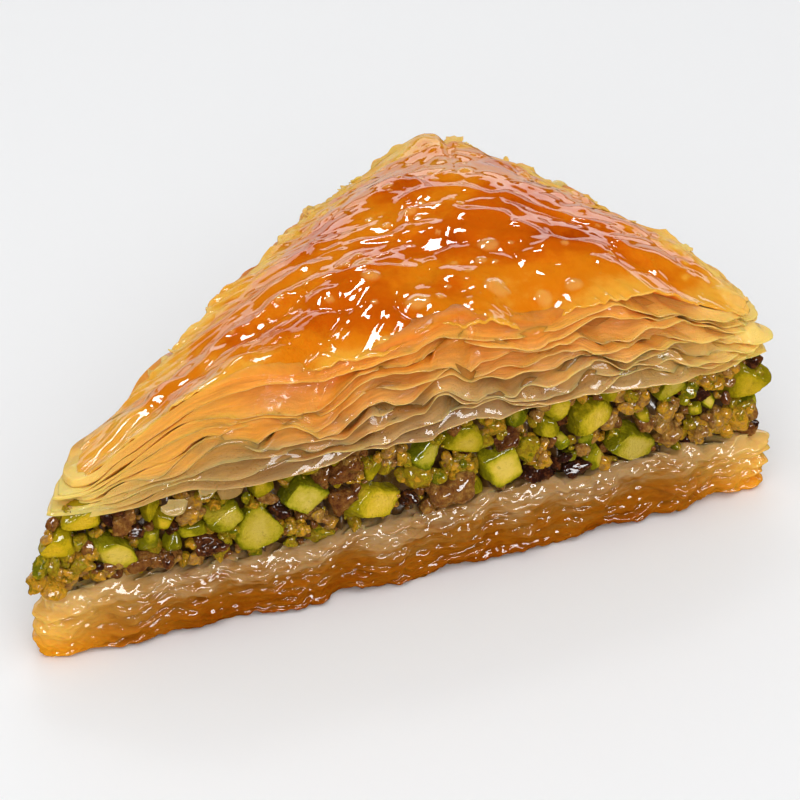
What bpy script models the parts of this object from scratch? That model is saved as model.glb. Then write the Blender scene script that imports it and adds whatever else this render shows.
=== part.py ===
"""A triangular piece of baklava, as it is cut from the tray.

It is three pieces that lie on each other: a soaked pastry base, a band of chopped nuts,
and a top of many pastry leaves that has puffed up between its three corners.

Frame: +X runs along the cut face at the front, from its sharp left tip to its right end,
+Y runs back to the rear corner and +Z is up. The origin is the centre of the flat underside,
the point as far from all three sides. Lengths are in metres.
"""

import math
import random

import bmesh
import bpy

# The plan: a triangle whose corners are rounded off and whose sides bow outwards. Its three
# sides are, in order, the front, the right side and the rear one, back to the left corner.
# The rear corner's place is measured from the left one, along the front and back from it.
FRONT_LENGTH = 0.1085
REAR_ALONG = 0.0882
REAR_BACK = 0.0720
CORNER_RADIUS = 0.0026
SIDE_BOWS = (0.0015, 0.0010, 0.0004)

# Points round the plan, and the steps that its arcs and bowed sides are first drawn in.
AROUND = 120
ARC_STEPS = 10
SIDE_STEPS = 60

# The flat caps have one more row of points this share of the way in, and edges that turn by
# more than this angle are shaded sharp.
CAP_ROW = 0.5
SHARP_ANGLE = math.radians(50)

# Heights of the three pieces, from the surface that the object stands on.
BASE_TOP = 0.0090
FILLING_TOP = 0.0213
CROWN_TOP = 0.0375
TIP_TOPS = (0.0234, 0.0268, 0.0260)
EDGE_TOPS = (0.0345, 0.0300, 0.0285)
JOIN_GAP = 0.0003

# The puffed edge of the top falls to the tip height over this distance from a corner, for
# the front and the other two sides.
TIP_REACHES = (0.0140, 0.0220, 0.0360)
TIP_POWER = 1.5

# The top hangs lower over the filling at the left corner, by this much and this far along.
LEFT_HANG = 0.0010
LEFT_HANG_REACH = 0.0160

# Slow waves that run round the edges of the pastry.
EDGE_WAVE = 0.0013
EDGE_WAVE_LENGTH = 0.0320
EDGE_WAVE_START = 0.0255
LAYER_WAVE = 0.0009
LAYER_WAVE_LENGTH = 0.0690
LAYER_WAVE_START = 0.0690

# The side of the base: soaked leaves pressed into a few rounded ridges.
BASE_RIDGES = 4
BASE_RIDGE_DEPTH = 0.0006
BASE_UNDERCUT = 0.0012
BASE_RIPPLE = 0.0004
BASE_RIPPLE_LENGTH = 0.0120
BASE_RIPPLE_SHIFT = 0.0017

# The nuts that stand out of the side of the filling.
NUT_COUNT = 110
NUT_RADIUS = (0.0028, 0.0044)
NUT_PROUD = 0.0016
FILLING_INSET = 0.0012
FILLING_ROWS = 6
NUT_SEED = 7

# The side of the top: leaves that lean inwards as they rise. Each is widest near its foot and
# a step narrower near its head, which lie at these shares of its thickness.
TOP_LEAVES = 5
TOP_OVERHANG = 0.0016
TOP_DRAWN_IN = 0.035
TOP_LEAN = 0.0032
LEAF_STEP = 0.0007
LEAF_FOOT = 0.25
LEAF_HEAD = 0.85
LEAF_WAVE = 0.0005
LEAF_WAVE_LENGTH = 0.0210
LEAF_WAVE_SHIFT = 0.0078
DOME_RINGS = (0.06, 0.13, 0.22, 0.33, 0.46, 0.60, 0.75, 0.88)
DOME_POWER = 2.0

MATERIALS = {
    "pastry_base": ((0.50, 0.21, 0.045), 0.30),
    "nut_filling": ((0.22, 0.24, 0.035), 0.42),
    "pastry_top": ((0.68, 0.24, 0.035), 0.18),
}


def clear_scene():
    for existing in list(bpy.data.objects):
        bpy.data.objects.remove(existing)


def minus(a, b):
    return (a[0] - b[0], a[1] - b[1])


def unit(v):
    size = math.hypot(*v)
    return (v[0] / size, v[1] / size)


def centred_corners():
    """The triangle's corners, with the point as far from all three sides at the origin."""
    corners = [(0.0, 0.0), (FRONT_LENGTH, 0.0), (REAR_ALONG, REAR_BACK)]
    across = [math.dist(corners[k - 2], corners[k - 1]) for k in range(3)]
    centre = [sum(size * corner[i] for size, corner in zip(across, corners)) for i in (0, 1)]
    centre = [value / sum(across) for value in centre]
    return [minus(corner, centre) for corner in corners]


def corner_arc(before, corner, after):
    """The arc that rounds off a corner, from the side before it to the side after it."""
    back, forth = unit(minus(before, corner)), unit(minus(after, corner))
    half = math.acos(back[0] * forth[0] + back[1] * forth[1]) / 2
    inwards = unit((back[0] + forth[0], back[1] + forth[1]))
    reach = CORNER_RADIUS / math.sin(half)
    middle = (corner[0] + inwards[0] * reach, corner[1] + inwards[1] * reach)
    sweep = math.pi - 2 * half
    start = math.atan2(-inwards[1], -inwards[0]) - sweep / 2
    for k in range(ARC_STEPS + 1):
        angle = start + sweep * k / ARC_STEPS
        yield (
            middle[0] + CORNER_RADIUS * math.cos(angle),
            middle[1] + CORNER_RADIUS * math.sin(angle),
        )


def bowed_side(start, end, most_bow):
    """Points between the ends of a side, which bows outwards in the middle."""
    along = minus(end, start)
    outwards = unit((along[1], -along[0]))
    for k in range(1, SIDE_STEPS):
        share = k / SIDE_STEPS
        bow = most_bow * math.sin(math.pi * share)
        yield (
            start[0] + along[0] * share + outwards[0] * bow,
            start[1] + along[1] * share + outwards[1] * bow,
        )


def plan_outline(corners):
    """The closed outline as AROUND points at equal steps, counter-clockwise, and its length."""
    arcs = [list(corner_arc(corners[k - 1], corners[k], corners[(k + 1) % 3])) for k in range(3)]
    dense = []
    for k, arc in enumerate(arcs):
        dense += arc
        dense += bowed_side(arc[-1], arcs[(k + 1) % 3][0], SIDE_BOWS[k])
    dense.append(dense[0])
    runs = [0.0]
    for a, b in zip(dense, dense[1:]):
        runs.append(runs[-1] + math.dist(a, b))
    points, k = [], 0
    for step in range(AROUND):
        run = runs[-1] * step / AROUND
        while runs[k + 1] < run:
            k += 1
        share = (run - runs[k]) / (runs[k + 1] - runs[k])
        points.append(tuple(a + (b - a) * share for a, b in zip(dense[k], dense[k + 1])))
    return points, runs[-1]


class Plan:
    """The outline with what the heights need: each point's run, normal and distances from the tips."""

    def __init__(self, corners):
        self.points, self.length = plan_outline(corners)
        self.runs = [self.length * k / AROUND for k in range(AROUND)]
        self.normals = []
        for k in range(AROUND):
            along = unit(minus(self.points[(k + 1) % AROUND], self.points[k - 1]))
            self.normals.append((along[1], -along[0]))
        tips = [
            min(range(AROUND), key=lambda k: math.dist(self.points[k], corner))
            for corner in corners
        ]
        self.tip_distances = [
            [math.dist(point, self.points[tip]) for tip in tips] for point in self.points
        ]
        self.sides = [(sum(k > tip for tip in tips) - 1) % 3 for k in range(AROUND)]

    def ring(self, outwards, heights):
        """One closed row of points: the outline moved out by a distance, at a height each."""
        placed = []
        for k, (x, y) in enumerate(self.points):
            nx, ny = self.normals[k]
            placed.append((x + nx * outwards[k], y + ny * outwards[k], heights[k]))
        return placed

    def wave(self, size, length, start=0.0):
        """A slow wave round the outline, with a whole number of crests."""
        crests = max(1, round(self.length / length))
        return [
            size * math.cos(2 * math.pi * crests * (run - start) / self.length)
            for run in self.runs
        ]


def shrunk(ring, share):
    """A row drawn in towards the centre by a share of the way, with its heights kept."""
    return [(x * (1 - share), y * (1 - share), z) for x, y, z in ring]


def add(*rows):
    return [sum(values) for values in zip(*rows)]


def level(value):
    return [value] * AROUND


def loft(name, rings):
    """A closed solid through rows of AROUND points, from the underside's rim to the top's."""
    mesh = bmesh.new()
    rows = [[mesh.verts.new(point) for point in ring] for ring in rings]
    for lower, upper in zip(rows, rows[1:]):
        for k in range(AROUND):
            after = (k + 1) % AROUND
            mesh.faces.new((lower[k], lower[after], upper[after], upper[k]))
    for row, facing in ((rows[0], -1), (rows[-1], 1)):
        middle = [sum(vert.co[i] for vert in row) / AROUND for i in range(3)]
        hub = mesh.verts.new(middle)
        for k in range(AROUND):
            pair = (row[k], row[(k + 1) % AROUND])[::facing]
            mesh.faces.new((*pair, hub))
    data = bpy.data.meshes.new(name)
    mesh.to_mesh(data)
    mesh.free()
    data.shade_smooth()
    data.set_sharp_from_angle(angle=SHARP_ANGLE)
    solid = bpy.data.objects.new(name, data)
    bpy.context.scene.collection.objects.link(solid)
    data.materials.append(finish(name))
    return solid


def finish(name):
    colour, roughness = MATERIALS[name]
    material = bpy.data.materials.new(name)
    material.use_nodes = True
    shader = material.node_tree.nodes["Principled BSDF"]
    shader.inputs["Base Color"].default_value = (*colour, 1.0)
    shader.inputs["Roughness"].default_value = roughness
    shader.inputs["Metallic"].default_value = 0.0
    return material


def base_top_heights(plan):
    return add(level(BASE_TOP), plan.wave(LAYER_WAVE / 2, LAYER_WAVE_LENGTH, LAYER_WAVE_START))


def filling_top_heights(plan):
    wave = plan.wave(LAYER_WAVE, LAYER_WAVE_LENGTH, LAYER_WAVE_START)
    hang = [-LEFT_HANG * math.exp(-((away[0] / LEFT_HANG_REACH) ** 2)) for away in plan.tip_distances]
    return add(level(FILLING_TOP), add(wave, hang))


def pastry_base(plan):
    """The soaked base: flat below, with a few rounded ridges round its side."""
    tops = base_top_heights(plan)
    rim = plan.ring(level(-BASE_UNDERCUT), level(0.0))
    rings = [shrunk(rim, CAP_ROW), rim]
    rows = 2 * BASE_RIDGES
    for k in range(1, rows):
        share = k / rows
        groove = -BASE_RIDGE_DEPTH if k % 2 == 0 else 0.0
        ripple = plan.wave(BASE_RIPPLE, BASE_RIPPLE_LENGTH, BASE_RIPPLE_SHIFT * k)
        rings.append(plan.ring(add(level(groove), ripple), [top * share for top in tops]))
    edge = plan.ring(level(-BASE_RIDGE_DEPTH), tops)
    rings += [edge, shrunk(edge, CAP_ROW)]
    return loft("pastry_base", rings)


def nut_places(plan):
    """Where the nuts lie along the side and up it, and how big each is."""
    chance = random.Random(NUT_SEED)
    low, high = BASE_TOP + NUT_RADIUS[0] / 2, FILLING_TOP - NUT_RADIUS[0] / 2
    return [
        (
            plan.length * (k + chance.random()) / NUT_COUNT,
            chance.uniform(low, high),
            chance.uniform(*NUT_RADIUS),
        )
        for k in range(NUT_COUNT)
    ]


def nut_bulge(plan, nuts, run, height):
    """How far the nearest nut stands out of the side at a place on it."""
    bulge = 0.0
    for nut_run, nut_height, radius in nuts:
        across = abs(run - nut_run)
        across = min(across, plan.length - across)
        rest = radius**2 - across**2 - (height - nut_height) ** 2
        if rest > 0:
            bulge = max(bulge, math.sqrt(rest) / radius * NUT_PROUD)
    return bulge


def nut_filling(plan):
    """The band of chopped nuts, out to its lumpy outline."""
    nuts = nut_places(plan)
    lows = add(base_top_heights(plan), level(JOIN_GAP))
    highs = filling_top_heights(plan)
    rings = []
    for row in range(FILLING_ROWS + 1):
        share = row / FILLING_ROWS
        heights = [low + (high - low) * share for low, high in zip(lows, highs)]
        out = [
            nut_bulge(plan, nuts, run, height) - FILLING_INSET
            for run, height in zip(plan.runs, heights)
        ]
        rings.append(plan.ring(out, heights))
    rings = [shrunk(rings[0], CAP_ROW), *rings, shrunk(rings[-1], CAP_ROW)]
    return loft("nut_filling", rings)


def edge_top_heights(plan):
    """The height of the top's edge: low at the corners, puffed and wavy between them."""
    wave = plan.wave(EDGE_WAVE, EDGE_WAVE_LENGTH, EDGE_WAVE_START)
    heights = []
    for side, away, lift in zip(plan.sides, plan.tip_distances, wave):
        puffed = EDGE_TOPS[side] + lift
        near = [math.exp(-((distance / TIP_REACHES[side]) ** TIP_POWER)) for distance in away]
        heights.append(puffed + sum((top - puffed) * share for top, share in zip(TIP_TOPS, near)))
    return heights


def pastry_top(plan):
    """The puffed top: leaves that step inwards round the side, under a domed skin."""
    lows = add(filling_top_heights(plan), level(JOIN_GAP))
    highs = edge_top_heights(plan)
    under = shrunk(plan.ring(level(TOP_OVERHANG - LEAF_STEP), lows), TOP_DRAWN_IN)
    rings = [shrunk(under, CAP_ROW), under]
    for leaf in range(TOP_LEAVES):
        wave = plan.wave(LEAF_WAVE, LEAF_WAVE_LENGTH, LEAF_WAVE_SHIFT * leaf)
        for share, step in ((LEAF_FOOT, 0.0), (LEAF_HEAD, LEAF_STEP)):
            rise = (leaf + share) / TOP_LEAVES
            out = add(level(TOP_OVERHANG - TOP_LEAN * rise - step), wave)
            heights = [low + (high - low) * rise for low, high in zip(lows, highs)]
            rings.append(shrunk(plan.ring(out, heights), TOP_DRAWN_IN))
    edge = shrunk(plan.ring(level(TOP_OVERHANG - TOP_LEAN), highs), TOP_DRAWN_IN)
    rings.append(edge)
    for share in DOME_RINGS:
        climb = 1 - (1 - share) ** DOME_POWER
        row = shrunk(edge, share)
        rings.append([(x, y, z + (CROWN_TOP - z) * climb) for x, y, z in row])
    return loft("pastry_top", rings)


def main():
    clear_scene()
    plan = Plan(centred_corners())
    pastry_base(plan)
    nut_filling(plan)
    pastry_top(plan)


main()
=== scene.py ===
"""The looks of a triangular piece of baklava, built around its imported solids.

Lengths are in millimetres, in the solids' own frame: +X along the cut face at the front,
+Y back to the rear corner, +Z up, with the origin under the point as far from all three
sides. They become metres when a mesh, a lamp or the camera is made.
"""

import math

import bmesh
import bpy
import numpy as np
from mathutils import Matrix, Vector


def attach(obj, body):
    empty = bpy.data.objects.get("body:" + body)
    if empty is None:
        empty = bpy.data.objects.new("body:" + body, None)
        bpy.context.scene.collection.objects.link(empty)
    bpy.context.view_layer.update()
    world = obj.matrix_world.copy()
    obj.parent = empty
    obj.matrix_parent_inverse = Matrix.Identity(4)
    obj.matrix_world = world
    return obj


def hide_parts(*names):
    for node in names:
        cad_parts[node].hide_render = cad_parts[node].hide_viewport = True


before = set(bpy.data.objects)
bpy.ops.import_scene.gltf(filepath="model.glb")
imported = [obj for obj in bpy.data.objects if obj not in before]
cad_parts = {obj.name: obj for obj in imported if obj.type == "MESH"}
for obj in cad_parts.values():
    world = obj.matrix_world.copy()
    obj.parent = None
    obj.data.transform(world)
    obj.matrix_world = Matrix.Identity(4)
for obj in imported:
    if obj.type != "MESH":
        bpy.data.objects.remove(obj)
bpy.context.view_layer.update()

MM = 0.001
FULL_TURN = 2 * math.pi

# The plan and the heights of the solids.
FRONT_LENGTH = 108.5
REAR_ALONG = 88.2
REAR_BACK = 72.0
CORNER_RADIUS = 2.6
SIDE_BOWS = (1.5, 1.0, 0.4)
BASE_TOP = 9.0
FILLING_TOP = 21.3
CROWN_TOP = 37.5
TIP_TOPS = (23.4, 26.8, 26.0)
EDGE_TOPS = (34.5, 30.0, 28.5)
TIP_REACHES = (14.0, 22.0, 36.0)
TIP_POWER = 1.5
LEFT_HANG = 1.0
LEFT_HANG_REACH = 16.0
EDGE_WAVE = 1.3
EDGE_WAVE_LENGTH = 32.0
EDGE_WAVE_START = 25.5
LAYER_WAVE = 0.9
LAYER_WAVE_LENGTH = 69.0
LAYER_WAVE_START = 69.0
# Where the rim lies lower than the solid's: place along the outline, depth and reach.
RIM_DIPS = (
    (138.0, 1.2, 5.0), (153.0, 1.9, 9.0), (176.5, 1.6, 1.5), (248.0, 3.0, 6.0), (267.0, 2.0, 8.0),
)
SKIN_OUT = (-1.6, 0.5, 0.5)
SKIN_DRAWN_IN = 0.035
DOME_POWER = 2.0

# How finely the outline is walked, along the front and along the other two sides.
FRONT_STEP = 0.24
OTHER_STEP = 0.42
ARC_STEPS = 12
SIDE_STEPS = 80


# ---------------------------------------------------------------- outline


def unit(v):
    return np.asarray(v) / np.linalg.norm(v)


def centred_corners():
    """The triangle's corners, with the point as far from all three sides at the origin."""
    corners = np.array([(0.0, 0.0), (FRONT_LENGTH, 0.0), (REAR_ALONG, REAR_BACK)])
    across = np.array([np.linalg.norm(corners[k - 2] - corners[k - 1]) for k in range(3)])
    return corners - across @ corners / across.sum()


def corner_arc(before, corner, after):
    """The arc that rounds off a corner, from the side before it to the side after it."""
    back, forth = unit(before - corner), unit(after - corner)
    half = math.acos(back @ forth) / 2
    inwards = unit(back + forth)
    middle = corner + inwards * CORNER_RADIUS / math.sin(half)
    sweep = math.pi - 2 * half
    start = math.atan2(-inwards[1], -inwards[0]) - sweep / 2
    angles = start + sweep * np.linspace(0, 1, ARC_STEPS + 1)
    return middle + CORNER_RADIUS * np.stack([np.cos(angles), np.sin(angles)], axis=1)


def bowed_side(start, end, most_bow):
    """Points between the ends of a side, which bows outwards in the middle."""
    along = end - start
    outwards = unit((along[1], -along[0]))
    share = np.linspace(0, 1, SIDE_STEPS + 1)[1:-1, None]
    return start + along * share + outwards * most_bow * np.sin(math.pi * share)


class Plan:
    """The outline as points in steps along it, counter-clockwise from the left corner."""

    def __init__(self):
        corners = centred_corners()
        arcs = [corner_arc(corners[k - 1], corners[k], corners[(k + 1) % 3]) for k in range(3)]
        dense = []
        for k, arc in enumerate(arcs):
            dense += [arc, bowed_side(arc[-1], arcs[(k + 1) % 3][0], SIDE_BOWS[k])]
        dense = np.concatenate(dense + [arcs[0][:1]])
        reach = np.concatenate([[0], np.cumsum(np.linalg.norm(np.diff(dense, axis=0), axis=1))])
        self.length = reach[-1]
        self.tip_runs = [
            reach[np.argmin(np.linalg.norm(dense[:-1] - corner, axis=1))] for corner in corners
        ]
        right = self.tip_runs[1]
        self.runs = np.concatenate([
            np.linspace(0, right, round(right / FRONT_STEP), endpoint=False),
            np.linspace(right, self.length, round((self.length - right) / OTHER_STEP), endpoint=False),
        ])
        self.count = len(self.runs)
        self.points = np.stack([np.interp(self.runs, reach, dense[:, i]) for i in (0, 1)], axis=1)
        along = np.roll(self.points, -1, axis=0) - np.roll(self.points, 1, axis=0)
        along /= np.linalg.norm(along, axis=1)[:, None]
        self.normals = np.stack([along[:, 1], -along[:, 0]], axis=1)
        self.inradius = float(np.min(np.linalg.norm(self.points, axis=1)))
        tips = np.array([[np.interp(run, reach, dense[:, i]) for i in (0, 1)] for run in self.tip_runs])
        away = np.linalg.norm(self.points[:, None] - tips[None], axis=2)
        self.tip_distances = away.T
        self.tip = np.argmin(away, axis=1)
        self.from_tip = np.min(away, axis=1)
        passed = sum((self.runs > run).astype(int) for run in self.tip_runs)
        self.side = (passed - 1) % 3

    def front_run(self, along):
        """The run of a place on the front, given from the middle of the piece."""
        front = (self.runs >= self.tip_runs[0]) & (self.runs <= self.tip_runs[1])
        return float(np.interp(along, self.points[front, 0], self.runs[front]))

    def wave(self, size, length, start=0.0):
        """A slow wave round the outline, with a whole number of crests."""
        crests = max(1, round(self.length / length))
        return size * np.cos(FULL_TURN * crests * (self.runs - start) / self.length)

    def ripple(self, chance, length, spread=0.45):
        """A random smooth wave round the outline, of unit size, with crests about length apart."""
        middle = self.length / length
        crests = np.arange(max(1, int(middle * (1 - spread))), int(middle * (1 + spread)) + 2)
        turns = FULL_TURN * np.outer(crests, self.runs) / self.length
        swing = chance.normal(size=(2, len(crests), 1))
        total = (swing[0] * np.cos(turns) + swing[1] * np.sin(turns)).sum(axis=0)
        return total / math.sqrt(len(crests))

    def torn(self, chance, length, depth):
        """A jagged wave round the outline, like a torn edge."""
        knots = np.sort(chance.uniform(0, self.length, int(self.length / length)))
        jags = chance.uniform(-depth, depth, len(knots))
        return np.interp(self.runs, knots, jags, period=self.length)

    def ends(self, reach):
        """One at the corners' ends, falling to nothing over a distance either side of them."""
        return np.exp(-((self.from_tip / reach) ** 2))

    def near(self, run, reach):
        """One at a place on the outline, falling to nothing over a distance either side."""
        away = np.abs(self.runs - run)
        away = np.minimum(away, self.length - away)
        return np.exp(-((away / reach) ** 2))

    def ring(self, outwards, heights, drawn_in=0.0, inwards=0.0):
        """One closed row of points: the outline moved out and drawn in, at a height each.

        Outwards is along the outline's normals. Inwards is a scaling towards the middle, by
        that far from each side, so that rows deep in the corners stay in order.
        """
        flat = (self.points + self.normals * np.broadcast_to(outwards, self.count)[:, None])
        scale = (1 - drawn_in) * (1 - np.broadcast_to(inwards, self.count)[:, None] / self.inradius)
        return np.column_stack([flat * scale, np.broadcast_to(heights, self.count)])


plan = Plan()


def side_distances(x, y):
    """How far points are in from the straight line of each side, and the sides' directions."""
    corners = centred_corners()
    alongs = [unit(corners[(k + 1) % 3] - corners[k]) for k in range(3)]
    inwards = [
        (y - corner[1]) * along[0] - (x - corner[0]) * along[1] for corner, along in zip(corners, alongs)
    ]
    return inwards, [math.atan2(along[1], along[0]) for along in alongs]


def by_side(values, blend=2.5):
    """One value for each side, blended where two sides meet."""
    away, _ = side_distances(*plan.points.T)
    shares = np.exp(-np.maximum(np.array(away), 0) / blend)
    return np.asarray(values) @ shares / shares.sum(axis=0)


def base_top_heights():
    return BASE_TOP + plan.wave(LAYER_WAVE / 2, LAYER_WAVE_LENGTH, LAYER_WAVE_START)


def filling_top_heights():
    hang = LEFT_HANG * np.exp(-((plan.tip_distances[0] / LEFT_HANG_REACH) ** 2))
    return FILLING_TOP + plan.wave(LAYER_WAVE, LAYER_WAVE_LENGTH, LAYER_WAVE_START) - hang


def edge_wave():
    return plan.wave(EDGE_WAVE, EDGE_WAVE_LENGTH, EDGE_WAVE_START)


def tip_share():
    """One at the corners' ends, falling to nothing along the sides."""
    return np.exp(-((plan.from_tip / np.take(TIP_REACHES, plan.side)) ** TIP_POWER))


def edge_top_heights():
    """The height of the top's edge: low at the corners, puffed and wavy between them."""
    puffed = np.take(EDGE_TOPS, plan.side) + edge_wave()
    near = np.exp(-((plan.tip_distances / np.take(TIP_REACHES, plan.side)) ** TIP_POWER))
    dips = sum(depth * plan.near(place, reach) for place, depth, reach in RIM_DIPS)
    return puffed + sum((top - puffed) * share for top, share in zip(TIP_TOPS, near)) - dips


# ---------------------------------------------------------------- meshes


def make_piece(name, points, faces, values, material, node):
    """A smooth mesh from points in millimetres, lists of faces by size, and point values."""
    mesh = bpy.data.meshes.new(name)
    mesh.vertices.add(len(points))
    mesh.vertices.foreach_set("co", (np.asarray(points) * MM).astype(np.float32).ravel())
    corners = np.concatenate([f.ravel() for f in faces]).astype(np.int32)
    sizes = np.concatenate([np.full(len(f), f.shape[1]) for f in faces])
    mesh.loops.add(len(corners))
    mesh.loops.foreach_set("vertex_index", corners)
    mesh.polygons.add(len(sizes))
    mesh.polygons.foreach_set("loop_start", (np.cumsum(sizes) - sizes).astype(np.int32))
    mesh.update(calc_edges=True)
    mesh.validate()
    for key, array in values.items():
        attribute = mesh.attributes.new(key, "FLOAT", "POINT")
        attribute.data.foreach_set("value", np.asarray(array, np.float32))
    mesh.shade_smooth()
    mesh.materials.append(material)
    piece = bpy.data.objects.new(name, mesh)
    bpy.context.scene.collection.objects.link(piece)
    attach(piece, "root")
    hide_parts(node)
    return piece


def band_faces(rows, count, closed=False, first=0):
    """Quads between neighbouring rows of a loft, and back to the first row if it is closed."""
    k = np.arange(count)
    after = (k + 1) % count
    lower = first + count * np.arange(rows if closed else rows - 1)
    upper = first + count * ((np.arange(len(lower)) + 1) % rows)
    return np.stack([
        lower[:, None] + k, lower[:, None] + after, upper[:, None] + after, upper[:, None] + k,
    ], axis=2).reshape(-1, 4)


def cap_faces(start, count, hub, flipped):
    """Triangles from a row of points to a hub, for instance to close an end."""
    k = np.arange(count)
    after = (k + 1) % count
    ring = (start + after, start + k) if flipped else (start + k, start + after)
    return np.stack([*ring, np.full(count, hub)], axis=1)


class Heap:
    """Many small closed bodies gathered into the arrays of one mesh."""

    def __init__(self):
        self.points, self.faces, self.values, self.size = [], [], {}, 0

    def add(self, points, faces, **values):
        self.points.append(points)
        self.faces.append(faces + self.size)
        for key, array in values.items():
            self.values.setdefault(key, []).append(np.broadcast_to(array, len(points)))
        self.size += len(points)

    def piece(self, name, material, slot, node):
        values = {key: np.concatenate(arrays) for key, arrays in self.values.items()}
        return make_piece(
            name, np.concatenate(self.points), [np.concatenate(self.faces)], values,
            material, node,
        )


# ---------------------------------------------------------------- random relief


def between(levels, share):
    """The smooth blend of the two levels next to a share of the way through them."""
    spot = min(max(share, 0.0), 1.0) * (len(levels) - 1)
    below = min(int(spot), len(levels) - 2)
    blend = 0.5 - 0.5 * math.cos(math.pi * (spot - below))
    return levels[below] * (1 - blend) + levels[below + 1] * blend


def swell(chance, x, y, length, waves=28, stretch=None):
    """A smooth random surface of unit size, whose swells are about length apart.

    stretch is (angle, times) to draw the swells out along a direction.
    """
    angles = chance.uniform(0, FULL_TURN, waves)
    sizes = FULL_TURN / (length * chance.uniform(0.7, 1.4, waves))
    phases = chance.uniform(0, FULL_TURN, waves)
    if stretch:
        cos, sin = math.cos(stretch[0]), math.sin(stretch[0])
        x, y = (x * cos + y * sin) / stretch[1], y * cos - x * sin
    total = np.zeros_like(x)
    for angle, size, phase in zip(angles, sizes, phases):
        total += np.cos(size * (math.cos(angle) * x + math.sin(angle) * y) + phase)
    return total * math.sqrt(2 / waves)


def creased(chance, x, y, length, soft=0.3, stretch=None):
    """A random surface of smooth slopes that meet in valleys."""
    return np.sqrt(swell(chance, x, y, length, stretch=stretch) ** 2 + soft**2) - 0.8


def from_line(x, y, corners):
    """How far points are from a line through corners."""
    nearest = np.full(x.shape, np.inf)
    for (ax, ay), (bx, by) in zip(corners, corners[1:]):
        dx, dy = bx - ax, by - ay
        share = np.clip(((x - ax) * dx + (y - ay) * dy) / (dx * dx + dy * dy), 0, 1)
        nearest = np.minimum(nearest, np.hypot(x - ax - share * dx, y - ay - share * dy))
    return nearest


def pillows(chance, x, y, spacing, curve, sharpness):
    """Puffed pillows side by side: the upper envelope of domes, with creases between them."""
    reach = np.array([x.min(), x.max(), y.min(), y.max()]) + spacing * np.array([-1, 1, -1, 1])
    across = np.arange(reach[0], reach[1], spacing)
    up = np.arange(reach[2], reach[3], spacing)
    centres = np.array([(a, b) for a in across for b in up])
    centres += chance.uniform(-0.5, 0.5, centres.shape) * spacing
    lifts = chance.uniform(0, 0.25 * spacing**2 / curve, len(centres))
    highest = np.full(x.shape, -50.0)
    for (cx, cy), lift in zip(centres, lifts):
        dome = lift - ((x - cx) ** 2 + (y - cy) ** 2) / (2 * curve)
        highest = sharpness * np.logaddexp(highest / sharpness, dome / sharpness)
    return highest


# ---------------------------------------------------------------- materials


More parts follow.
